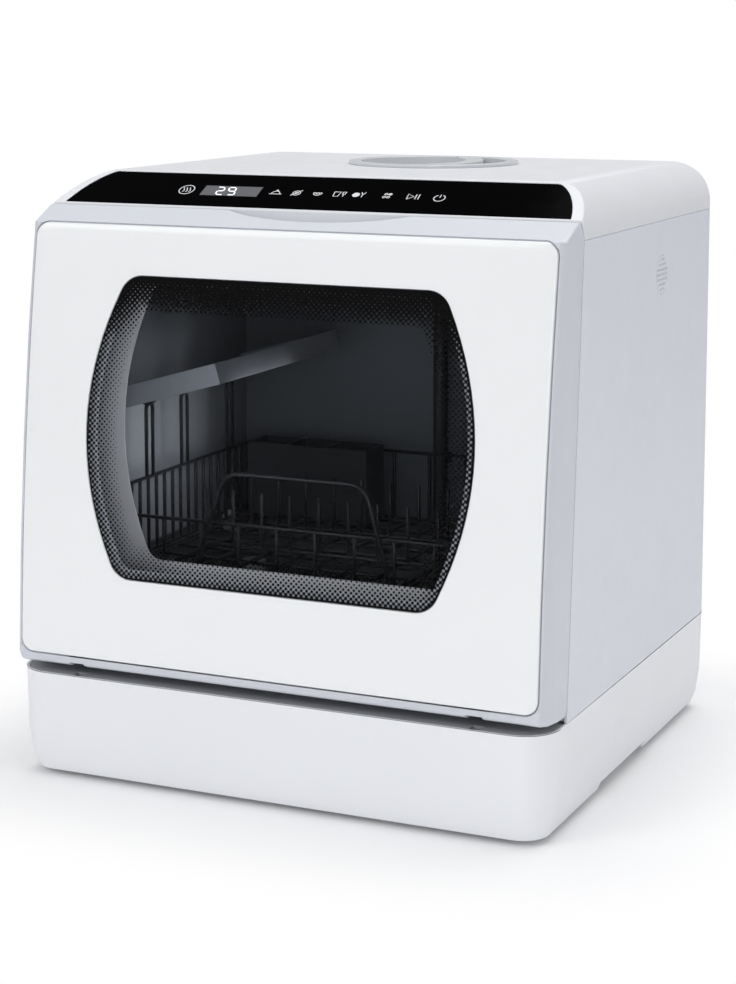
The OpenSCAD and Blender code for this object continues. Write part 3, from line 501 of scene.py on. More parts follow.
def wire(*corners: Point, bend_mm: float = 6.0, thick_mm: float = 1.5) -> Shape:
    """Bent wire through corners in mm that lie in one plane.

    Args:
        corners: corners of its middle line.
        bend_mm: how far before and after a corner its bend reaches.
        thick_mm: its radius.

    Returns:
        Its points and its faces.
    """
    c = np.array(corners, float)
    steps = np.diff(c, axis=0)
    aside = steps[1] if len(steps) > 1 else np.eye(3)[np.argmin(np.abs(steps[0]))]
    side = np.cross(steps[0], aside)
    return rod(bend(c * MM, bend_mm * MM), tuple(side / np.linalg.norm(side)), thick_mm * MM)


def slab(outline: Array, low: float, high: float, ease: float) -> Shape:
    """Extrudes a convex outline along its third axis, with both edges eased.

    Args:
        outline: rows of two coordinates.
        low: start of the slab.
        high: end of the slab.
        ease: how far each edge is drawn in.

    Returns:
        Its points, with the extrusion as third coordinate, and its faces.
    """
    middle = outline.mean(0)
    reach = np.linalg.norm(outline - middle, axis=1, keepdims=True)
    small = middle + (outline - middle) * (1 - ease / reach)
    rings = [(small, low), (outline, low + ease), (outline, high - ease), (small, high)]
    points = np.concatenate([np.column_stack([ring, np.full(len(ring), h)]) for ring, h in rings])
    return points, capped(len(rings), len(outline))


# ---- Shapes of the door and its window ----
@dataclass(frozen=True)
class DoorFace:
    """Face of the door, which leans back over its height and bulges forward of its chord.

    y(z) = front + lean t - 4 bulge t (1 - t), with t = (z - foot) / rise.

    Attributes:
        foot: height of the door's lower edge.
        rise: height of the door over its foot.
        front: depth of the face at the foot.
        lean: how far back its upper edge lies.
        bulge: how far its middle stands out.
    """

    foot: float = 0.082
    rise: float = 0.336
    front: float = -0.204
    lean: float = 0.034
    bulge: float = 0.0056

    def lift(self, outline: Array, behind: float = 0.0) -> Array:
        """Lays a flat outline of x and z on the face, or that far behind it.

        Args:
            outline: rows of x and z.
            behind: distance behind the face.

        Returns:
            Rows of x, y and z.
        """
        t = (outline[:, 1] - self.foot) / self.rise
        y = self.front + self.lean * t - 4 * self.bulge * t * (1 - t) + behind
        return np.stack([outline[:, 0], y, outline[:, 1]], -1)


@dataclass(frozen=True)
class Outline:
    """Rounded outline with barrel-shaped sides.

    Half its width at height z over its middle is wide / 2 - barrel (2 z / tall)^2. Every
    outline has the same count of points, so that two of them join point by point.

    Attributes:
        wide: width at the middle.
        tall: height.
        radius: radius of its corners.
        barrel: how much narrower each side is at the ends than at the middle.
        middle: height of its middle.
        arc: points of a corner.
        side: points of a side between two corners.
        least: smallest radius that a drawn-in corner keeps.
    """

    wide: float
    tall: float
    radius: float
    barrel: float
    middle: float
    arc: int = 10
    side: int = 17
    least: float = 0.004

    def inset(self, e: float) -> Array:
        """Points of the outline drawn in by e, from the right side's foot round to the left.

        Args:
            e: how far it is drawn in.

        Returns:
            Rows of x and z.
        """
        h = self.tall / 2 - e
        r = max(self.radius - e, self.least)
        a = math.atan(8 * self.barrel * (h - r / 2) / self.tall ** 2)
        top = h - r * (1 - math.sin(a))

        def half(z: Array | float) -> Array | float:
            """Half the width at height z over the middle."""
            return self.wide / 2 - e - self.barrel * (2 * z / self.tall) ** 2

        turn = np.linspace(-math.pi / 2, -a, self.arc)
        low = np.stack([half(top) + r * (np.cos(turn) - math.cos(a)),
                        -(h - r) + r * np.sin(turn)], -1)
        z = np.linspace(-top, top, self.side + 2)[1:-1]
        right = np.concatenate([low, np.stack([half(z), z], -1), low[::-1] * [1, -1]])
        return np.concatenate([right, right[::-1] * [-1, 1]]) + [0, self.middle]


FACE = DoorFace()
PLATE = Outline(0.414, 0.322, 0.010, 0.0, 0.258)
WINDOW = Outline(0.310, 0.224, 0.019, 0.0296, 0.271)


@dataclass(frozen=True)
class ClearGlass(Finish):
    """Clear toughened glass: the room shows through it, and a faint mirror of the lamps lies on it.

    Its colour tints what shows through.

    Attributes:
        index: refractive index that sets how strongly it mirrors.
    """

    index: float = 1.1

    def pane(self, tree: Tree) -> Source:
        """See-through pane with the mirror r0 + (1 - c)^5 / 2, the same from both of its sides.

        c is the cosine of the angle to the surface, r0 = ((index - 1) / (index + 1))^2.

        Args:
            tree: node tree that takes it.

        Returns:
            The shader.
        """
        through = add(tree, "BsdfTransparent", {"Color": linear(self.colour)})
        mirror = add(tree, "BsdfGlossy", {"Roughness": self.gloss(tree),
                                          "Normal": self.relief(tree)})
        facing = add(tree, "LayerWeight", {"Blend": 0.5}).outputs["Facing"]
        slanting = add(tree, "Math", {0: facing, 1: 5.0}, operation="POWER")
        straight = ((self.index - 1) / (self.index + 1)) ** 2
        strength = add(tree, "Math", {0: slanting, 1: 0.5, 2: straight}, operation="MULTIPLY_ADD")
        return add(tree, "MixShader", {0: strength, 1: through, 2: mirror})

    def shade(self, tree: Tree) -> Source:
        """The pane alone."""
        return self.pane(tree)


@dataclass(frozen=True)
class ScreenedGlass(ClearGlass):
    """Clear glass with a border of black enamel, screened into dots that shrink inwards.

    The screen is h = (1 + cos kx cos kz) / 2, a lattice turned by 45 degrees whose dots lie
    pitch_mm apart, so k = 2 pi / (sqrt 2 pitch). Enamel lies where h + cover > 1, and cover
    falls with the distance from the border.

    Attributes:
        enamel: sRGB hex colour of the enamel.
        pitch_mm: distance between dots.
        rim_mm: width of the unbroken edge.
        band_mm: distance from the border where the dots end.
        shares: cover at the unbroken edge and where the dots end.
        fade_mm: width over which the last dots end.
        top: heights between which the cover rises along the top.
        top_share: how much it rises there.
    """

    enamel: str = "#09090A"
    pitch_mm: float = 2.9
    rim_mm: float = 1.3
    band_mm: float = 25.0
    shares: Span = (0.60, 0.10)
    fade_mm: float = 0.4
    top: Span = (0.335, 0.368)
    top_share: float = 0.42

    def cover(self, tree: Tree) -> Source:
        """Share of the glass that the enamel covers, which stays high along the top.

        Args:
            tree: node tree that takes it.

        Returns:
            What gives the share, above 1 where the enamel is unbroken.
        """
        depth = add(tree, "Attribute", attribute_name="edge_mm").outputs["Fac"]
        high = add(tree, "SeparateXYZ", {0: add(tree, "TexCoord").outputs["Object"]}).outputs["Z"]
        rising = add(tree, "MapRange", {
            "Value": high, "From Min": self.top[0], "From Max": self.top[1],
            "To Min": 0.0, "To Max": self.top_share})
        falling = add(tree, "MapRange", {
            "Value": depth, "From Min": self.rim_mm, "From Max": self.band_mm,
            "To Min": self.shares[0], "To Max": self.shares[1]})
        inside = add(tree, "MapRange", {
            "Value": depth, "From Min": self.band_mm, "From Max": self.band_mm + self.fade_mm,
            "To Min": 1.0, "To Max": 0.0})
        share = add(tree, "Math", {0: falling, 1: rising}, operation="ADD")
        dots = add(tree, "Math", {0: inside, 1: share}, operation="MULTIPLY")
        rim = add(tree, "Math", {0: depth, 1: self.rim_mm}, operation="LESS_THAN")
        return add(tree, "Math", {0: rim, 1: dots}, operation="ADD")

    def shade(self, tree: Tree) -> Source:
        """Clear pane where the screen is open, enamel where it is closed.

        Args:
            tree: node tree that takes it.

        Returns:
            The shader.
        """
        where = add(tree, "SeparateXYZ", {0: add(tree, "TexCoord").outputs["Object"]})
        k = math.sqrt(2) * math.pi / (self.pitch_mm * MM)
        waves = {}
        for place, axis in enumerate("XZ"):
            angle = add(tree, "Math", {0: where.outputs[axis], 1: k}, operation="MULTIPLY")
            waves[place] = add(tree, "Math", {0: angle}, operation="COSINE")
        lattice = add(tree, "Math", waves, operation="MULTIPLY")
        screen = add(tree, "Math", {0: lattice, 1: 0.5, 2: 0.5}, operation="MULTIPLY_ADD")
        height = add(tree, "Math", {0: screen, 1: self.cover(tree)}, operation="ADD")
        black = add(tree, "Math", {0: height, 1: 1.0}, operation="GREATER_THAN")
        enamel = add(tree, "BsdfPrincipled", {
            "Base Color": linear(self.enamel), "Roughness": 0.22, "Specular IOR Level": 0.06})
        return add(tree, "MixShader", {0: black, 1: self.pane(tree), 2: enamel})


# Toughened float glass: very smooth. The outer pane has a border of fired ceramic enamel
CLEAR = {"roughness": 0.03, "grain_mm": 30, "grain": 0.02, "spread": 0.01}
WINDOW_GLASS = ScreenedGlass("toughened_glass_screened", "#F7F8F9", **CLEAR)
INNER_GLASS = ClearGlass("toughened_glass_clear", "#F7F8F9", **CLEAR)
REAR_MM = 500.0  # distance from the border that the glass's rear is given


@dataclass
class DoorFront:
    """White plate and window glass, lofted on the door's curved face.

    Attributes:
        thick: thickness of the plate.
        joint: width of the joint round the glass, and how far the glass lies behind the plate.
        rounding: how far the glass's outermost ring lies behind the next.
        insets_mm: distances of the glass's rings from its border.
        seam: depth of the seam between plate and frame at the door's foot.
        seam_lean: how far back the seam lies at the top.
        pane: where the inner pane starts and ends behind the seam.
        pane_inset: how far the inner pane lies inside the window.
        pane_ease: rounding of its edges.
    """

    thick: float = 0.004
    joint: float = 0.0005
    rounding: float = 0.0004
    insets_mm: tuple[float, ...] = (0, 0.2, 1.2, 3, 6, 10, 15, 20, 25, 26, 34, 48, 66, 84, 98)
    seam: float = -0.164
    seam_lean: float = 0.025
    pane: Span = (0.0063, 0.00775)
    pane_inset: float = 0.0023
    pane_ease: float = 0.0003

    def plate(self) -> Piece:
        """Plate between its outer outline and the window, with eased edges.

        Rings run from the back of the outer edge over the face to the back of the window's
        edge; between the two edges a ring is the mean of both outlines, weighted by s.

        Returns:
            The piece.
        """
        outer, inner = PLATE.inset(0.0014), WINDOW.inset(-0.001)
        rings = [FACE.lift(PLATE.inset(e), d) for e, d in
                 ((0, self.thick), (0, 0.0013), (0.0002, 0.0006), (0.0007, 0.0002))]
        rings += [FACE.lift((1 - s) * outer + s * inner) for s in np.linspace(0, 1, 9)]
        rings += [FACE.lift(WINDOW.inset(e), d) for e, d in
                  ((-0.0004, 0.0001), (-0.0001, 0.0004), (0, 0.0009), (0, self.thick))]
        points = np.stack(rings)
        faces = grid_faces(len(points), points.shape[1], ring=True, loop=True)
        return solid("door_plate_shape", (points, faces), 60, "door", PLATE_WHITE, "door_plate")

    def glass(self) -> Piece:
        """Window glass as rings that carry their distance from the border in mm.

        The rings run out over its front and back in over its rear, which has no enamel and
        so counts as far from the border.

        Returns:
            The piece.
        """
        insets = np.array(self.insets_mm) * MM
        rings, edges = [], []
        for e in insets[::-1]:
            rounding = self.rounding if e == 0 else 0.0
            rings.append(FACE.lift(WINDOW.inset(self.joint + e), self.joint + rounding))
            edges.append(np.full(len(rings[-1]), e / MM))
        for e in insets:
            rings.append(FACE.lift(WINDOW.inset(self.joint + e), self.thick))
            edges.append(np.full(len(rings[-1]), REAR_MM))
        points = np.stack(rings)
        made = surface_mesh("window_glass_shape", points, capped(*points.shape[:2]), 50)
        depth = made.data.attributes.new("edge_mm", "FLOAT", "POINT")
        depth.data.foreach_set("value", np.concatenate(edges))
        return finished(outward(made), "door", WINDOW_GLASS, "window_glass")

    def inner_pane(self) -> Piece:
        """Flat clear pane in the door's inner side.

        In the seam's frame it is an outline of x and height, pushed into the cabinet. The
        seam starts at the door's foot and leans back with it.

        Returns:
            The piece.
        """
        outline = replace(WINDOW, middle=WINDOW.middle - FACE.foot).inset(self.pane_inset)
        points, faces = slab(outline, *self.pane, self.pane_ease)
        lean = math.atan(self.seam_lean / FACE.rise)
        s, c = math.sin(lean), math.cos(lean)
        points = points @ np.array([[1, 0, 0], [0, s, c], [0, c, -s]]) + [0, self.seam, FACE.foot]
        return solid("inner_glass_shape", (points, faces), 30, "door", INNER_GLASS, "inner_glass")

    def build(self) -> list[Piece]:
        """All three pieces."""
        return [self.plate(), self.glass(), self.inner_pane()]


# ---- The finishes of this machine ----
# Each row: material and process, colour, roughness, spacing of the grain in mm, height of the
# grain and mottle, then whatever sets it apart. Real mould grain is 0.1 to 0.3 mm apart; it
# is drawn about 1 mm apart, as fine as it can be and still show.

# ABS from a polished mould under a clear coat: a broad soft mirror of the lamps
PLATE_WHITE = Finish("gloss_white_abs_moulded", "#EDEFF1", 0.22, 9, 0.02, 0.012,
                     spread=0.02, coat=0.3)
# ABS from a spark-eroded mould: an even, fine matt grain
BASE_WHITE = Finish("satin_white_abs_moulded", "#E9EBEF", 0.42, 0.9, 0.25, 0.015)
COVER_WHITE = Finish("satin_pale_abs_cover", "#DDDFE4", 0.36, 0.9, 0.22, 0.015)
# Glossier, greyer moulding of the lid: it catches dark lines round its rim
LID_GREY = Finish("gloss_grey_abs_lid", "#CDD0D4", 0.2, 2.0, 0.1, 0.02, coat=0.3)
# Sheet steel with baked powder paint: slight orange peel. The side's colour is a little darker and
# bluer than the base's white: painted shade of the sides, which face away from the key lamp
SHADED_SIDE_PAINT = Finish("powder_coated_steel_side_painted_shade", "#D9DCE5", 0.4, 1.6, 0.3, 0.02)
BACK_PAINT = Finish("powder_coated_steel_back", "#B9BCC2", 0.46, 1.6, 0.35, 0.03)
# ABS of the door and the ledge: a cool grey with a soft sheen. The ledge's darker grey is painted
# shade from the door's overhang above it
DOOR_GREY = Finish("satin_grey_abs_door", "#CED1D9", 0.38, 0.9, 0.2, 0.02)
SHADED_SILL_GREY = Finish("grey_abs_ledge_painted_shade", "#A4A6AB", 0.5, 1.0, 0.25)
# Polypropylene round the opening and inside the door: a waxy, slightly duller grey
FRAME_GREY = Finish("satin_grey_pp_frame", "#9FA2A8", 0.45, 1.0, 0.25)
LINER_GREY = Finish("grey_pp_liner", "#DCDCDF", 0.38, 1.1, 0.25, 0.03)
# Toughened glass with black enamel behind it: deep black with hardly any mirror
PANEL_BLACK = Finish("black_enamelled_glass", "#030304", 0.09, 14, 0.02, 0.0,
                     spread=0.02, mirror=0.004)
# Smoked window of the display, lit numerals under it and the white screen print round it
DISPLAY_GREY = Finish("smoked_acrylic_window", "#5C5E62", 0.3, 6, 0.03, 0.04, mirror=0.2)
DISPLAY_LIT = Finish("lit_led_segment", "#F6F8FA", 0.4, 2, 0.05, 0.0, glow=0.35)
PRINT_WHITE = Finish("white_screen_print", "#D9DBDE", 0.5, 0.4, 0.2, 0.05)
# Polypropylene moulded in one deep tub: a soft sheen with a little drag from the mould
TUB_GREY = Finish("grey_pp_tub_moulded", "#7A7D82", 0.42, 1.4, 0.3, 0.04)
# Etched stainless mesh: a grey glitter, too fine to show hole by hole
FILTER_STEEL = Finish("stainless_mesh_etched", "#A6A9AE", 0.36, 0.8, 0.5, metallic=1.0)
# Zinc plating: bluish metal with cloudy, uneven gloss
ZINC = Finish("zinc_plated_steel", "#B7BABD", 0.36, 5.0, 0.15, 0.1, metallic=1.0, spread=0.12)
# Drawn tube of nickel alloy, browned by heat
HEATER_ALLOY = Finish("nickel_alloy_drawn", "#77726C", 0.4, 1.2, 0.3, 0.14, metallic=1.0)
# Steel wire dipped in nylon powder: a soft, slightly uneven skin
WIRE_NYLON = Finish("nylon_dipped_wire", "#1B1C1F", 0.34, 2.4, 0.3, 0.05)
# Small mouldings of polypropylene: an even satin with a fine grain
SHELF_GREY = Finish("grey_pp_shelf", "#A6A8AE", 0.42, 1.1, 0.25, 0.03)
ARM_GREY = Finish("grey_pp_spray_arm", "#6A6E74", 0.4, 1.1, 0.25, 0.03)
DARK_PP = Finish("dark_pp_moulded", "#34363A", 0.45, 1.2, 0.3, 0.05)
BLUE_PP = Finish("blue_pp_moulded", "#46698C", 0.4, 1.0, 0.2)
# Pressed rubber: nearly matt, with a dusty bloom
RUBBER = Finish("epdm_rubber_pressed", "#26272A", 0.62, 0.8, 0.35, 0.06)
FOOT_RUBBER = Finish("tpe_foot_moulded", "#C9CBCE", 0.55, 0.8, 0.3, 0.04)
# Nylon filled with glass fibre: dull, with a rough, speckled skin
PUMP_BLACK = Finish("glass_filled_nylon", "#2C2E32", 0.52, 0.7, 0.45, 0.08)
# Uncoloured polypropylene, hot-plate welded: milky and smooth
TANK_PP = Finish("natural_pp_welded", "#D6DEE2", 0.3, 3.0, 0.15, 0.03)
# Uncoloured nylon: ivory, with a fine even grain
VALVE_WHITE = Finish("ivory_nylon_moulded", "#E4E4DE", 0.42, 0.9, 0.2, 0.03)
# Glass laminate under solder mask: deep green, mottled by the copper beneath
BOARD_GREEN = Finish("solder_masked_laminate", "#1E4A30", 0.3, 2.0, 0.4, 0.25)


# ---- Sub-assemblies ----
Looks = dict[str, tuple[Finish, float]]


@dataclass
class Shells:
    """Pieces whose shape the construction already has: each gets rounded edges and its finish.

    Attributes:
        pieces: node name to its finish and the width of its edges in mm.
        held: nodes with edges so close that their rounding is held back.
    """

    pieces: Looks = field(default_factory=dict)
    held: tuple[str, ...] = ("door_liner",)

    def build(self) -> list[Piece]:
        """Dresses every listed node."""
        return [skin(node, finish, edge, node in self.held)
                for node, (finish, edge) in self.pieces.items()]


@dataclass
class Cabinet(Shells):
    """Outer casing, feet and back."""

    pieces: Looks = field(default_factory=lambda: {
        "base_housing": (BASE_WHITE, 0.8), "base_sill": (SHADED_SILL_GREY, 0.6),
        "feet": (FOOT_RUBBER, 0.3), "chassis_plate": (ZINC, 0.3),
        "side_panel_left": (SHADED_SIDE_PAINT, 0.5), "side_panel_right": (SHADED_SIDE_PAINT, 0.5),
        "back_panel": (BACK_PAINT, 0.4), "panel_screws": (ZINC, 0.0),
        "top_cover": (COVER_WHITE, 0.9), "vent_grille": (SHADED_SIDE_PAINT, 0.2),
        "cable_gland": (RUBBER, 0.6)})


@dataclass
class Front(Shells):
    """Control panel, front frame, tub and what carries the door."""

    pieces: Looks = field(default_factory=lambda: {
        "control_panel": (PANEL_BLACK, 0.4), "control_board": (BOARD_GREEN, 0.0),
        "front_frame": (FRAME_GREY, 0.6), "tub": (TUB_GREY, 0.6), "door_seal": (RUBBER, 0.4),
        "hinge_brackets": (ZINC, 0.4), "latch_switch": (VALVE_WHITE, 0.4),
        "basket_rails": (DARK_PP, 0.6), "tank_lid": (LID_GREY, 0.5)})


@dataclass
class WaterSystem(Shells):
    """Tank, sump, pumps, heater, spray arms and connections."""

    pieces: Looks = field(default_factory=lambda: {
        "water_tank": (TANK_PP, 1.0), "fill_funnel": (TANK_PP, 0.4), "sump": (DARK_PP, 0.5),
        "mesh_filter": (FILTER_STEEL, 0.2), "filter_cup": (BLUE_PP, 0.5),
        "heater": (HEATER_ALLOY, 0.0), "wash_pump": (PUMP_BLACK, 0.8),
        "drain_pump": (PUMP_BLACK, 0.8), "inlet_valve": (VALVE_WHITE, 0.6),
        "drain_spigot": (DARK_PP, 0.6), "drying_fan": (DARK_PP, 0.5),
        "float_switch": (VALVE_WHITE, 0.5), "spray_pipe": (DARK_PP, 0.0),
        "lower_spray_arm": (ARM_GREY, 0.35), "upper_spray_arm": (ARM_GREY, 0.35),
        "hoses": (RUBBER, 0.0)})


@dataclass
class Door(Shells):
    """Door with its plate, glass, liner and detergent box."""

    pieces: Looks = field(default_factory=lambda: {
        "door_frame": (DOOR_GREY, 0.8), "door_liner": (LINER_GREY, 0.8), "latch_hook": (ZINC, 0.3),
        "hinge_pins": (ZINC, 0.3), "detergent_box": (DARK_PP, 0.4),
        "detergent_lid": (ARM_GREY, 0.5)})


@dataclass
class BasketTrays(Shells):
    """Moulded holder and shelf of the basket."""

    pieces: Looks = field(default_factory=lambda: {
        "cutlery_holder": (DARK_PP, 0.5), "cup_shelf": (SHELF_GREY, 0.6)})


# ---- Marks of the control panel ----
PRINT_OVER, PRINT_UNDER = 0.06, -0.04  # where a print's faces lie over the slope, in mm


def arc(x: float, v: float, radius: float, start: float, end: float, count: int = 15) -> Array:
    """Points of an arc round (x, v) between two angles in degrees."""
    a = np.radians(np.linspace(start, end, count))
    return np.stack([x + radius * np.cos(a), v + radius * np.sin(a)], -1)


def ribbon(path: Array, width: float) -> Shape:
    """Printed stroke along a path.

    At each place it has four points: path +- width / 2 square to the path, over and under
    the print.

    Args:
        path: rows of x and v in mm.
        width: width of the stroke in mm.

    Returns:
        Its points (x, v and height in mm) and its faces.
    """
    path = np.asarray(path, float)
    ahead = np.gradient(path, axis=0)
    ahead /= np.linalg.norm(ahead, axis=1, keepdims=True)
    left = ahead[:, ::-1] * [-0.5 * width, 0.5 * width]
    over, under = (np.full((len(path), 1), h) for h in (PRINT_OVER, PRINT_UNDER))
    rings = np.stack([np.hstack([path + left, over]), np.hstack([path - left, over]),
                      np.hstack([path - left, under]), np.hstack([path + left, under])], 1)
    return rings.reshape(-1, 3), capped(len(path), 4)


class Segment(Enum):
    """Bars a to g of a numeral, as start and end in units of its width and half height."""

    TOP = ((0, 2), (1, 2))
    UPPER_RIGHT = ((1, 1), (1, 2))
    LOWER_RIGHT = ((1, 0), (1, 1))
    BOTTOM = ((0, 0), (1, 0))
    LOWER_LEFT = ((0, 0), (0, 1))
    UPPER_LEFT = ((0, 1), (0, 2))
    MIDDLE = ((0, 1), (1, 1))


@dataclass
class PanelPrint:
    """Marks printed on the sloping panel, in the panel's own frame of x and v in mm.

    The point (x, v, n) lies at foot + x X + v V + n N: V climbs the slope and N stands out of it.

    Attributes:
        foot: start of the slope in mm.
        tilt: angle of the slope in degrees.
        stroke: width of the strokes.
        digit: width and half height of a numeral.
        bar: width of its bars.
        gap: how much is left free at each end of a bar.
        slant: how far a numeral leans for each mm of height.
        display: left and right end, middle and width of the display's window.
        sunk: how much lower than the print the window lies.
        digit_foot: foot of the numerals.
    """

    foot: Point = (0.0, -137.25, 431.5)
    tilt: float = 27.29
    stroke: float = 0.75
    digit: Span = (5.6, 5.2)
    bar: float = 1.25
    gap: float = 0.55
    slant: float = 0.22
    display: tuple[float, float, float, float] = (-94.8, -47.0, 24.0, 13.6)
    sunk: float = 0.02
    digit_foot: float = 18.6

    def placed(self, name: str, parts: list[Shape], finish: Finish) -> Piece:
        """Lays marks on the slope as one piece.

        Args:
            name: name of the piece.
            parts: strokes with their faces.
            finish: what they are made of.

        Returns:
            The piece.
        """
        points, faces = gather(parts)
        c, s = math.cos(math.radians(self.tilt)), math.sin(math.radians(self.tilt))
        turn = np.array([[1, 0, 0], [0, c, s], [0, -s, c]])
        points = (points @ turn + np.array(self.foot)) * MM
        return solid(name, (points, faces), 30, "cabinet", finish)

    def numeral(self, x: float, v: float, bars: str) -> list[Shape]:
        """One numeral of slanted bars, which the letters a to g name.

        Args:
            x: its left edge.
            v: its foot.
            bars: letters of the bars that are lit.

        Returns:
            Its bars with their faces.
        """
        parts = []
        for bar in bars:
            ends = np.array(list(Segment)["abcdefg".index(bar)].value, float) * self.digit
            step = ends[1] - ends[0]
            gap = self.gap * step / np.linalg.norm(step)
            ends = np.stack([ends[0] + gap, ends[1] - gap])
            ends[:, 0] -= self.slant * ends[:, 1]
            parts.append(ribbon(ends + [x, v], self.bar))
        return parts

    def drawings(self) -> list[Array]:
        """Strokes of the ring, the plain pictures of what is washed, play with pause, and power.

        Returns:
            Rows of x and v for each stroke.
        """
        paths = [arc(-108.6, 24.0, 6.1, 0, 360, 41)]
        paths += [np.stack([x + 0.7 * np.sin(np.linspace(0, 5, 9)), np.linspace(20.9, 27.1, 9)], -1)
                  for x in (-111.2, -108.6, -106.0)]
        # Dish cover, struck-out plate and bowl
        paths += [arc(-33.4, 22.6, 3.3, 0, 180), [(-38.4, 22.0), (-28.2, 22.0)],
                  arc(-33.4, 27.0, 0.6, 0, 360)]
        paths += [arc(-16.6, 24.2, 3.0, 0, 360, 21), arc(-16.6, 24.2, 1.3, 0, 360, 13),
                  [(-20.4, 20.6), (-13, 28.2)]]
        paths += [arc(0.4, 25.4, 3.4, 180, 360), [(-3.0, 25.4), (3.8, 25.4)],
                  arc(0.4, 25.4, 1.7, 180, 360)]
        # Tumbler and stemmed glass, plate and fork, fruit
        paths += [[(13.2, 27.6), (18.4, 27.6), (17.6, 21.4), (14.0, 21.4), (13.2, 27.6)],
                  [(20.2, 27.6), (22.8, 27.6), (22.4, 24.2), (20.8, 24.2), (20.2, 27.6)],
                  [(21.6, 24.2), (21.6, 21.4)]]
        paths += [arc(31.4, 24.4, r, 0, 360, 17) for r in (2.6, 1.9, 1.2, 0.5)]
        paths += [[(36.6, 21.4), (36.6, 25.0), (34.8, 28.0)], [(36.6, 25.0), (38.4, 28.0)]]
        paths += [arc(x, v, r, 0, 360, 13) for x, v, r in (
            (54.4, 22.6, 1.1), (57.6, 22.6, 1.1), (54.8, 26.6, 1.1), (58.0, 26.6, 1.2),
            (58.0, 26.6, 0.6))]
        # Play with pause, and power
        paths += [[(72.6, 20.8), (72.0, 27.8), (77.4, 24.4), (72.6, 20.8)],
                  [(79.0, 21.0), (78.6, 27.6)], [(81.4, 21.0), (81.0, 27.6)]]
        paths += [arc(97.4, 23.6, 4.2, 118, 422, 33), [(97.4, 24.2), (97.4, 28.2)]]
        return [np.asarray(path, float) for path in paths]

    def build(self) -> list[Piece]:
        """The display's window, its two numerals and the printed marks.

        The window lies a little lower than the print, so that the numerals stand on it.

        Returns:
            The three pieces.
        """
        left, right, v, tall = self.display
        window = ribbon(np.array([(left, v), (right, v)]), tall)
        window[0][:, 2] -= self.sunk
        bars = (self.numeral(-81.6, self.digit_foot, "abged")
                + self.numeral(-72.0, self.digit_foot, "abcdfg"))
        marks = [ribbon(path, self.stroke) for path in self.drawings()]
        return [self.placed("display_window", [window], DISPLAY_GREY),
                self.placed("display_numerals", bars, DISPLAY_LIT),
                self.placed("panel_print", marks, PRINT_WHITE)]


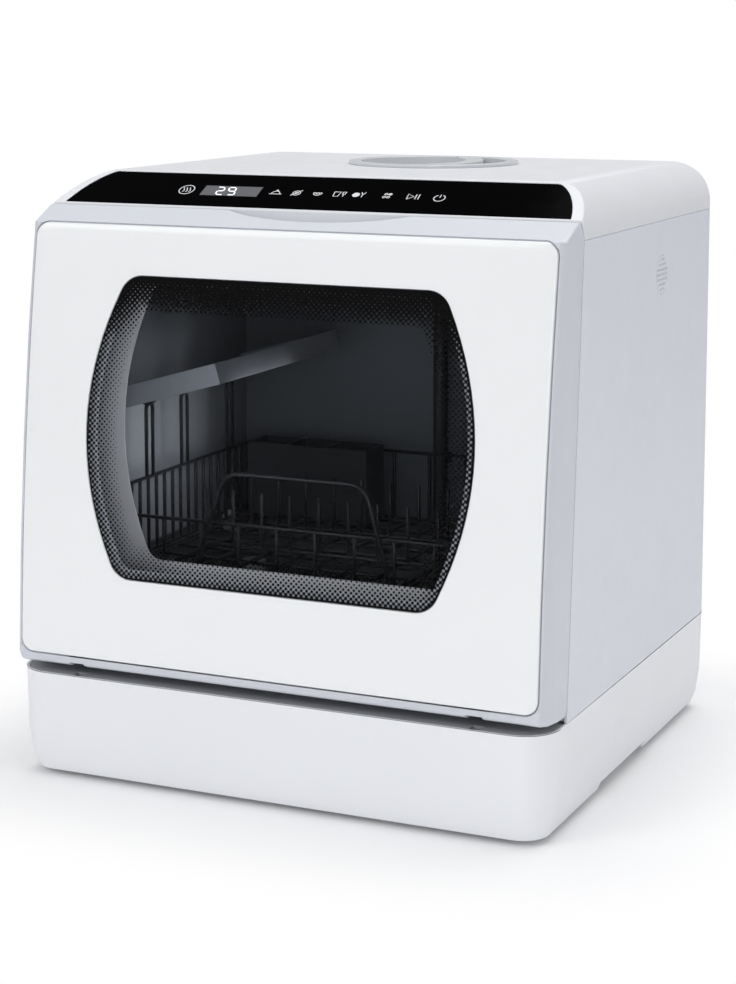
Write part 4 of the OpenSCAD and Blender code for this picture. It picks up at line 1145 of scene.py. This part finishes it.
# ---- Basket ----
@dataclass
class WireBasket:
    """Basket of welded and dipped round wire, with its rollers. Sizes in mm.

    Attributes:
        half: half of its width.
        front: position of the front wires.
        back: position of the rear wires.
        low: height of the lower layer of wires.
        high: height of the upper layer of wires.
        rim: height of the side rims.
        front_rim: height of the front rim.
        axle: height of the rollers' axles.
        inset: distance of the axles from the basket's ends.
        hinge: height of the shelf's hinge.
        posts: positions of the hairpin posts that carry it.
        hairpin: half of a post's width.
        under_hinge: how far a post ends under the hinge.
        crossing: how far crossing wires end inside the basket's sides.
        layers: wires in the lower and the upper layer of the floor.
        tine_rows: positions of the rows of tines.
        tine_foot: height of their cross wires over the lower layer.
        tine_reach: distance of the outermost tines from the middle.
        tine: height of a tine over its cross wire.
        roller: distance of the rollers' middles from the basket's middle.
    """

    half: float = 165.0
    front: float = -121.0
    back: float = 100.0
    low: float = 152.01
    high: float = 154.79
    rim: float = 211.51
    front_rim: float = 189.51
    axle: float = 144.51
    inset: float = 26.0
    hinge: float = 273.51
    posts: tuple[float, ...] = (-79.01, -22.43, 55.8)
    hairpin: float = 5.0
    under_hinge: float = 4.0
    crossing: float = 1.6
    layers: tuple[int, int] = (8, 12)
    tine_rows: tuple[float, ...] = (-62.0, 18.0)
    tine_foot: float = 5.85
    tine_reach: float = 125.0
    tine: float = 44.0
    roller: float = 173.5

    def dressed(self, node: str, parts: list[Shape]) -> Piece:
        """Joins wires in one piece and lets it stand for a node."""
        return solid(node + "_wires", gather(parts), 50, "basket", WIRE_NYLON, node)

    def floor(self) -> Piece:
        """Two crossing layers of wires.

        Returns:
            The piece.
        """
        x, near, far = (v - self.crossing for v in (self.half, -self.front, self.back))
        deep, wide = self.layers
        parts = [wire((-x, y, self.low), (x, y, self.low))
                 for y in np.linspace(self.front + 6, self.back - 6, deep)]
        parts += [wire((u, -near, self.high), (u, far, self.high))
                  for u in (np.arange(wide) + 0.5) * self.half / (wide / 2) - self.half]
        return self.dressed("basket_floor", parts)

    def end_wall(self, node: str, y: float, top: float) -> Piece:
        """Front or rear wall: a rim, a foot wire and eleven uprights that end under the rim.

        Args:
            node: CAD node that it stands for.
            y: its position.
            top: height of its rim.

        Returns:
            The piece.
        """
        x = self.half - self.crossing
        parts = [wire((-x, y, z), (x, y, z)) for z in (self.high, top)]
        parts += [wire((u, y, self.high), (u, y, top)) for u in np.linspace(2 - x, x - 2, 11)]
        return self.dressed(node, parts)

    def side_wall(self, s: int) -> list[Shape]:
        """One side: a rim whose front end bends down, uprights, axle plates and axles.

        A plate's outline is a rounded rectangle: a superellipse of 7 by 9.5 mm, in which each
        wave w of the circle becomes sign(w) |w|^0.35.

        Args:
            s: -1 for the left side, 1 for the right.

        Returns:
            Its wires and plates.
        """
        x, near, far = s * self.half, self.front, self.back
        parts = [wire((x, near, self.low), (x, far, self.low)),
                 wire((x, far, self.rim), (x, near, self.rim), (x, near, self.low), bend_mm=12)]
        parts += [wire((x, y, self.low), (x, y, self.rim)) for y in np.linspace(near, far, 18)[1:]]
        turn = np.linspace(0, 2 * np.pi, 20, endpoint=False)
        waves = np.stack([np.cos(turn), np.sin(turn)], -1)
        rounded = [7, 9.5] * np.sign(waves) * np.abs(waves) ** 0.35
        for y in (near + self.inset, far - self.inset):
            plate = [y, self.axle + 3.5] + rounded
            points, faces = slab(plate * MM, -1.5 * MM, 1.5 * MM, 0.4 * MM)
            parts.append((points[:, [2, 0, 1]] + [x * MM, 0, 0], faces))
            parts += [wire((x + s * a, y, self.axle), (x + s * b, y, self.axle), thick_mm=radius)
                      for radius, a, b in ((2.5, 0.0, 15.0), (4.0, 0.0, 3.3), (3.8, 13.8, 15.4))]
        return parts

    def left(self) -> Piece:
        """Left side with the hairpin posts and the knuckles of the cup shelf.

        Returns:
            The piece.
        """
        x, top = -self.half, self.hinge - self.under_hinge
        parts = self.side_wall(-1)
        for y in self.posts:
            near, far = y - self.hairpin, y + self.hairpin
            parts.append(wire((x, near, self.rim), (x, near, top), (x, far, top),
                              (x, far, self.rim), bend_mm=4.5))
            parts.append(spun(sleeve(2.1, 4, 13, 0.4) * MM, (x * MM, y * MM, self.hinge * MM),
                              1, 24))
        return self.dressed("basket_side_left", parts)

    def handle(self) -> Piece:
        """Handle loop, a thicker wire welded in front of the front wall.

        Returns:
            The piece.
        """
        y, foot, top = self.front - 3.7, self.low - 0.4, 229.4
        loop = wire((-101, y, foot), (-73.5, y, top), (42.5, y, top), (64.2, y, foot),
                    bend_mm=13, thick_mm=2.05)
        return self.dressed("basket_handle", [loop])

    def tines(self) -> Piece:
        """Two rows of round-tipped tines on their cross wires.

        Returns:
            The piece.
        """
        z, x = self.low + self.tine_foot, self.tine_reach
        parts = []
        for y in self.tine_rows:
            parts.append(wire((-x - 3, y, z), (x + 3, y, z)))
            parts += [wire((u, y, z), (u, y, z + self.tine)) for u in np.linspace(-x, x, 11)]
        return self.dressed("plate_tines", parts)

    def wheel(self, node: str, s: int, y: float) -> Piece:
        """Moulded roller on its axle.

        Args:
            node: CAD node that it stands for.
            s: -1 for the left side, 1 for the right.
            y: its position.

        Returns:
            The piece.
        """
        centre = (s * self.roller * MM, y * MM, self.axle * MM)
        shape = spun(sleeve(2.55, 9, 10, 0.7) * MM, centre, 0, 40)
        return solid(node + "_shape", shape, 30, node + "_body", VALVE_WHITE, node)

    def build(self) -> list[Piece]:
        """All wire pieces and the four rollers.

        Returns:
            The pieces.
        """
        made = [self.floor(), self.end_wall("basket_front", self.front, self.front_rim),
                self.end_wall("basket_rear", self.back, self.rim), self.left(),
                self.dressed("basket_side_right", self.side_wall(1)), self.handle(), self.tines()]
        for end, y in (("front", self.front + self.inset), ("rear", self.back - self.inset)):
            for side, s in (("left", -1), ("right", 1)):
                made.append(self.wheel(f"roller_{end}_{side}", s, y))
        return made


# ---- Studio ----
@dataclass
class Studio:
    """Pale floor, soft lamps and the camera.

    Attributes:
        place: camera position.
        azimuth: turn of the view round Z, to the left.
        pitch: how far the view looks down.
        focal_px: focal length in pixels of the frame.
        centre_px: pixel that the view's axis passes through.
        frame_px: width and height of the frame.
        sensor_mm: height of the sensor.
        rings: radii of the floor's rings.
        below: how far the floor lies below the feet.
        footprint: half of the cabinet's width and depth.
        fade: distances from the footprint between which the floor turns white.
    """

    place: Point = (0.7162, -1.6085, 0.5610)
    azimuth: float = 0.42475
    pitch: float = 0.13613
    focal_px: float = 2256.98
    centre_px: Span = (368.0, 340.0)
    frame_px: tuple[int, int] = (736, 984)
    sensor_mm: float = 36.0
    rings: tuple[float, ...] = (0.01, 0.4, 1.2, 4.0, 12.0)
    below: float = 0.0002
    footprint: Point = (0.215, 0.204, 0.0)
    fade: Span = (0.015, 0.16)

    def camera(self) -> Piece:
        """Sets the camera, with the small shift that centres the object in the frame.

        Returns:
            The camera.
        """
        wide, tall = self.frame_px
        data = bpy.data.cameras.new("camera")
        data.sensor_fit = "VERTICAL"
        data.sensor_height = self.sensor_mm
        data.lens = self.focal_px * self.sensor_mm / tall
        data.shift_x = (wide / 2 - self.centre_px[0]) / tall
        data.shift_y = (self.centre_px[1] - tall / 2) / tall
        data.clip_start = 0.05
        seen = bpy.data.objects.new("camera", data)
        turn = (Matrix.Rotation(self.azimuth, 4, "Z")
                @ Matrix.Rotation(math.pi / 2 - self.pitch, 4, "X"))
        seen.matrix_world = Matrix.Translation(self.place) @ turn
        bpy.context.scene.collection.objects.link(seen)
        bpy.context.scene.camera = seen
        return seen

    def lamp(self, name: str, place: Point, size: float, power: float,
             aim: Point = (0.0, 0.0, 0.23)) -> Piece:
        """Adds one square soft lamp.

        Args:
            name: name of the lamp.
            place: its position.
            size: its side.
            power: its output in watts.
            aim: point that it looks at.

        Returns:
            The lamp.
        """
        data = bpy.data.lights.new(name, "AREA")
        data.shape = "SQUARE"
        data.size = size
        data.energy = power
        lamp = bpy.data.objects.new(name, data)
        look = (Vector(aim) - Vector(place)).to_track_quat("-Z", "Y").to_matrix().to_4x4()
        lamp.matrix_world = Matrix.Translation(place) @ look
        bpy.context.scene.collection.objects.link(lamp)
        return lamp

    def world(self) -> None:
        """Even soft light from all round, and white where the camera sees past the floor."""
        world = bpy.data.worlds.new("studio")
        world.use_nodes = True
        tree = world.node_tree
        tree.nodes.clear()
        path = add(tree, "LightPath")
        sight = add(tree, "Math", {0: path.outputs["Is Camera Ray"],
                                   1: path.outputs["Is Transmission Ray"]}, operation="MAXIMUM")
        power = add(tree, "MapRange", {"Value": sight, "To Min": 0.5, "To Max": 1.0})
        shade = add(tree, "Background", {"Color": linear("#FFFFFF"), "Strength": power})
        add(tree, "OutputWorld", {"Surface": shade})
        bpy.context.scene.world = world

    def floor(self) -> None:
        """Pale floor, a disc of rings from a small middle one to one far behind the cabinet.

        The camera sees it fade into white with the distance from the cabinet's footprint.
        """
        turn = np.linspace(0, 2 * np.pi, 48, endpoint=False)
        r, a = np.meshgrid(self.rings, turn, indexing="ij")
        points = np.stack([r * np.cos(a), r * np.sin(a), 0 * r - self.below], -1)
        faces = grid_faces(*r.shape, ring=True)[:, ::-1].tolist() + [list(range(len(turn)))]
        disc = surface_mesh("floor", points, faces)
        paper = bpy.data.materials.new("studio_paper")
        paper.use_nodes = True
        tree = paper.node_tree
        tree.nodes.clear()
        matt = add(tree, "BsdfDiffuse", {"Color": linear("#FBFBFC")})
        white = add(tree, "Emission", {"Color": linear("#FFFFFF"), "Strength": 1.0})
        away = add(tree, "TexCoord").outputs["Object"]
        for how, other in (("ABSOLUTE", {}), ("SUBTRACT", {1: self.footprint}),
                           ("MAXIMUM", {1: (0.0, 0.0, 0.0)})):
            away = add(tree, "VectorMath", {0: away} | other, operation=how)
        away = add(tree, "VectorMath", {0: away}, operation="LENGTH").outputs["Value"]
        fade = add(tree, "MapRange", {"Value": away, "From Min": self.fade[0],
                                      "From Max": self.fade[1]}, interpolation_type="SMOOTHSTEP")
        camera = add(tree, "LightPath").outputs["Is Camera Ray"]
        seen = add(tree, "Math", {0: fade, 1: camera}, operation="MULTIPLY")
        mixed = add(tree, "MixShader", {0: seen, 1: matt, 2: white})
        add(tree, "OutputMaterial", {"Surface": mixed})
        disc.data.materials.append(paper)

    def build(self) -> None:
        """Sets up camera, lamps, world and floor."""
        self.camera()
        self.world()
        self.floor()
        self.lamp("key_softbox", (-1.6, -2.6, 2.2), 1.8, 27)
        self.lamp("top_softbox", (0.2, 0.4, 2.4), 2.0, 30)
        self.lamp("side_fill", (2.4, -0.7, 1.5), 1.4, 4)
        self.lamp("front_fill", (0.9, -2.2, 0.45), 0.8, 6.5)
        # A small lamp in the tub, which lights its left wall and is not seen itself
        inside = self.lamp("tub_light", (-0.05, -0.05, 0.235), 0.10, 0.09, (-0.18, -0.05, 0.235))
        inside.data.spread = 1.7
        inside.visible_camera = inside.visible_glossy = False


def main() -> None:
    """Builds every sub-assembly in order."""
    logging.basicConfig(level=logging.INFO, format="%(message)s")
    scene = bpy.context.scene
    scene.view_settings.view_transform = "Standard"
    Studio().build()
    for part in (Cabinet(), Front(), PanelPrint(), WaterSystem(), Door(), DoorFront(),
                 BasketTrays(), WireBasket()):
        for made in part.build():
            LOG.info("%s: %s", type(part).__name__, made.name)


if __name__ == "__main__":
    main()
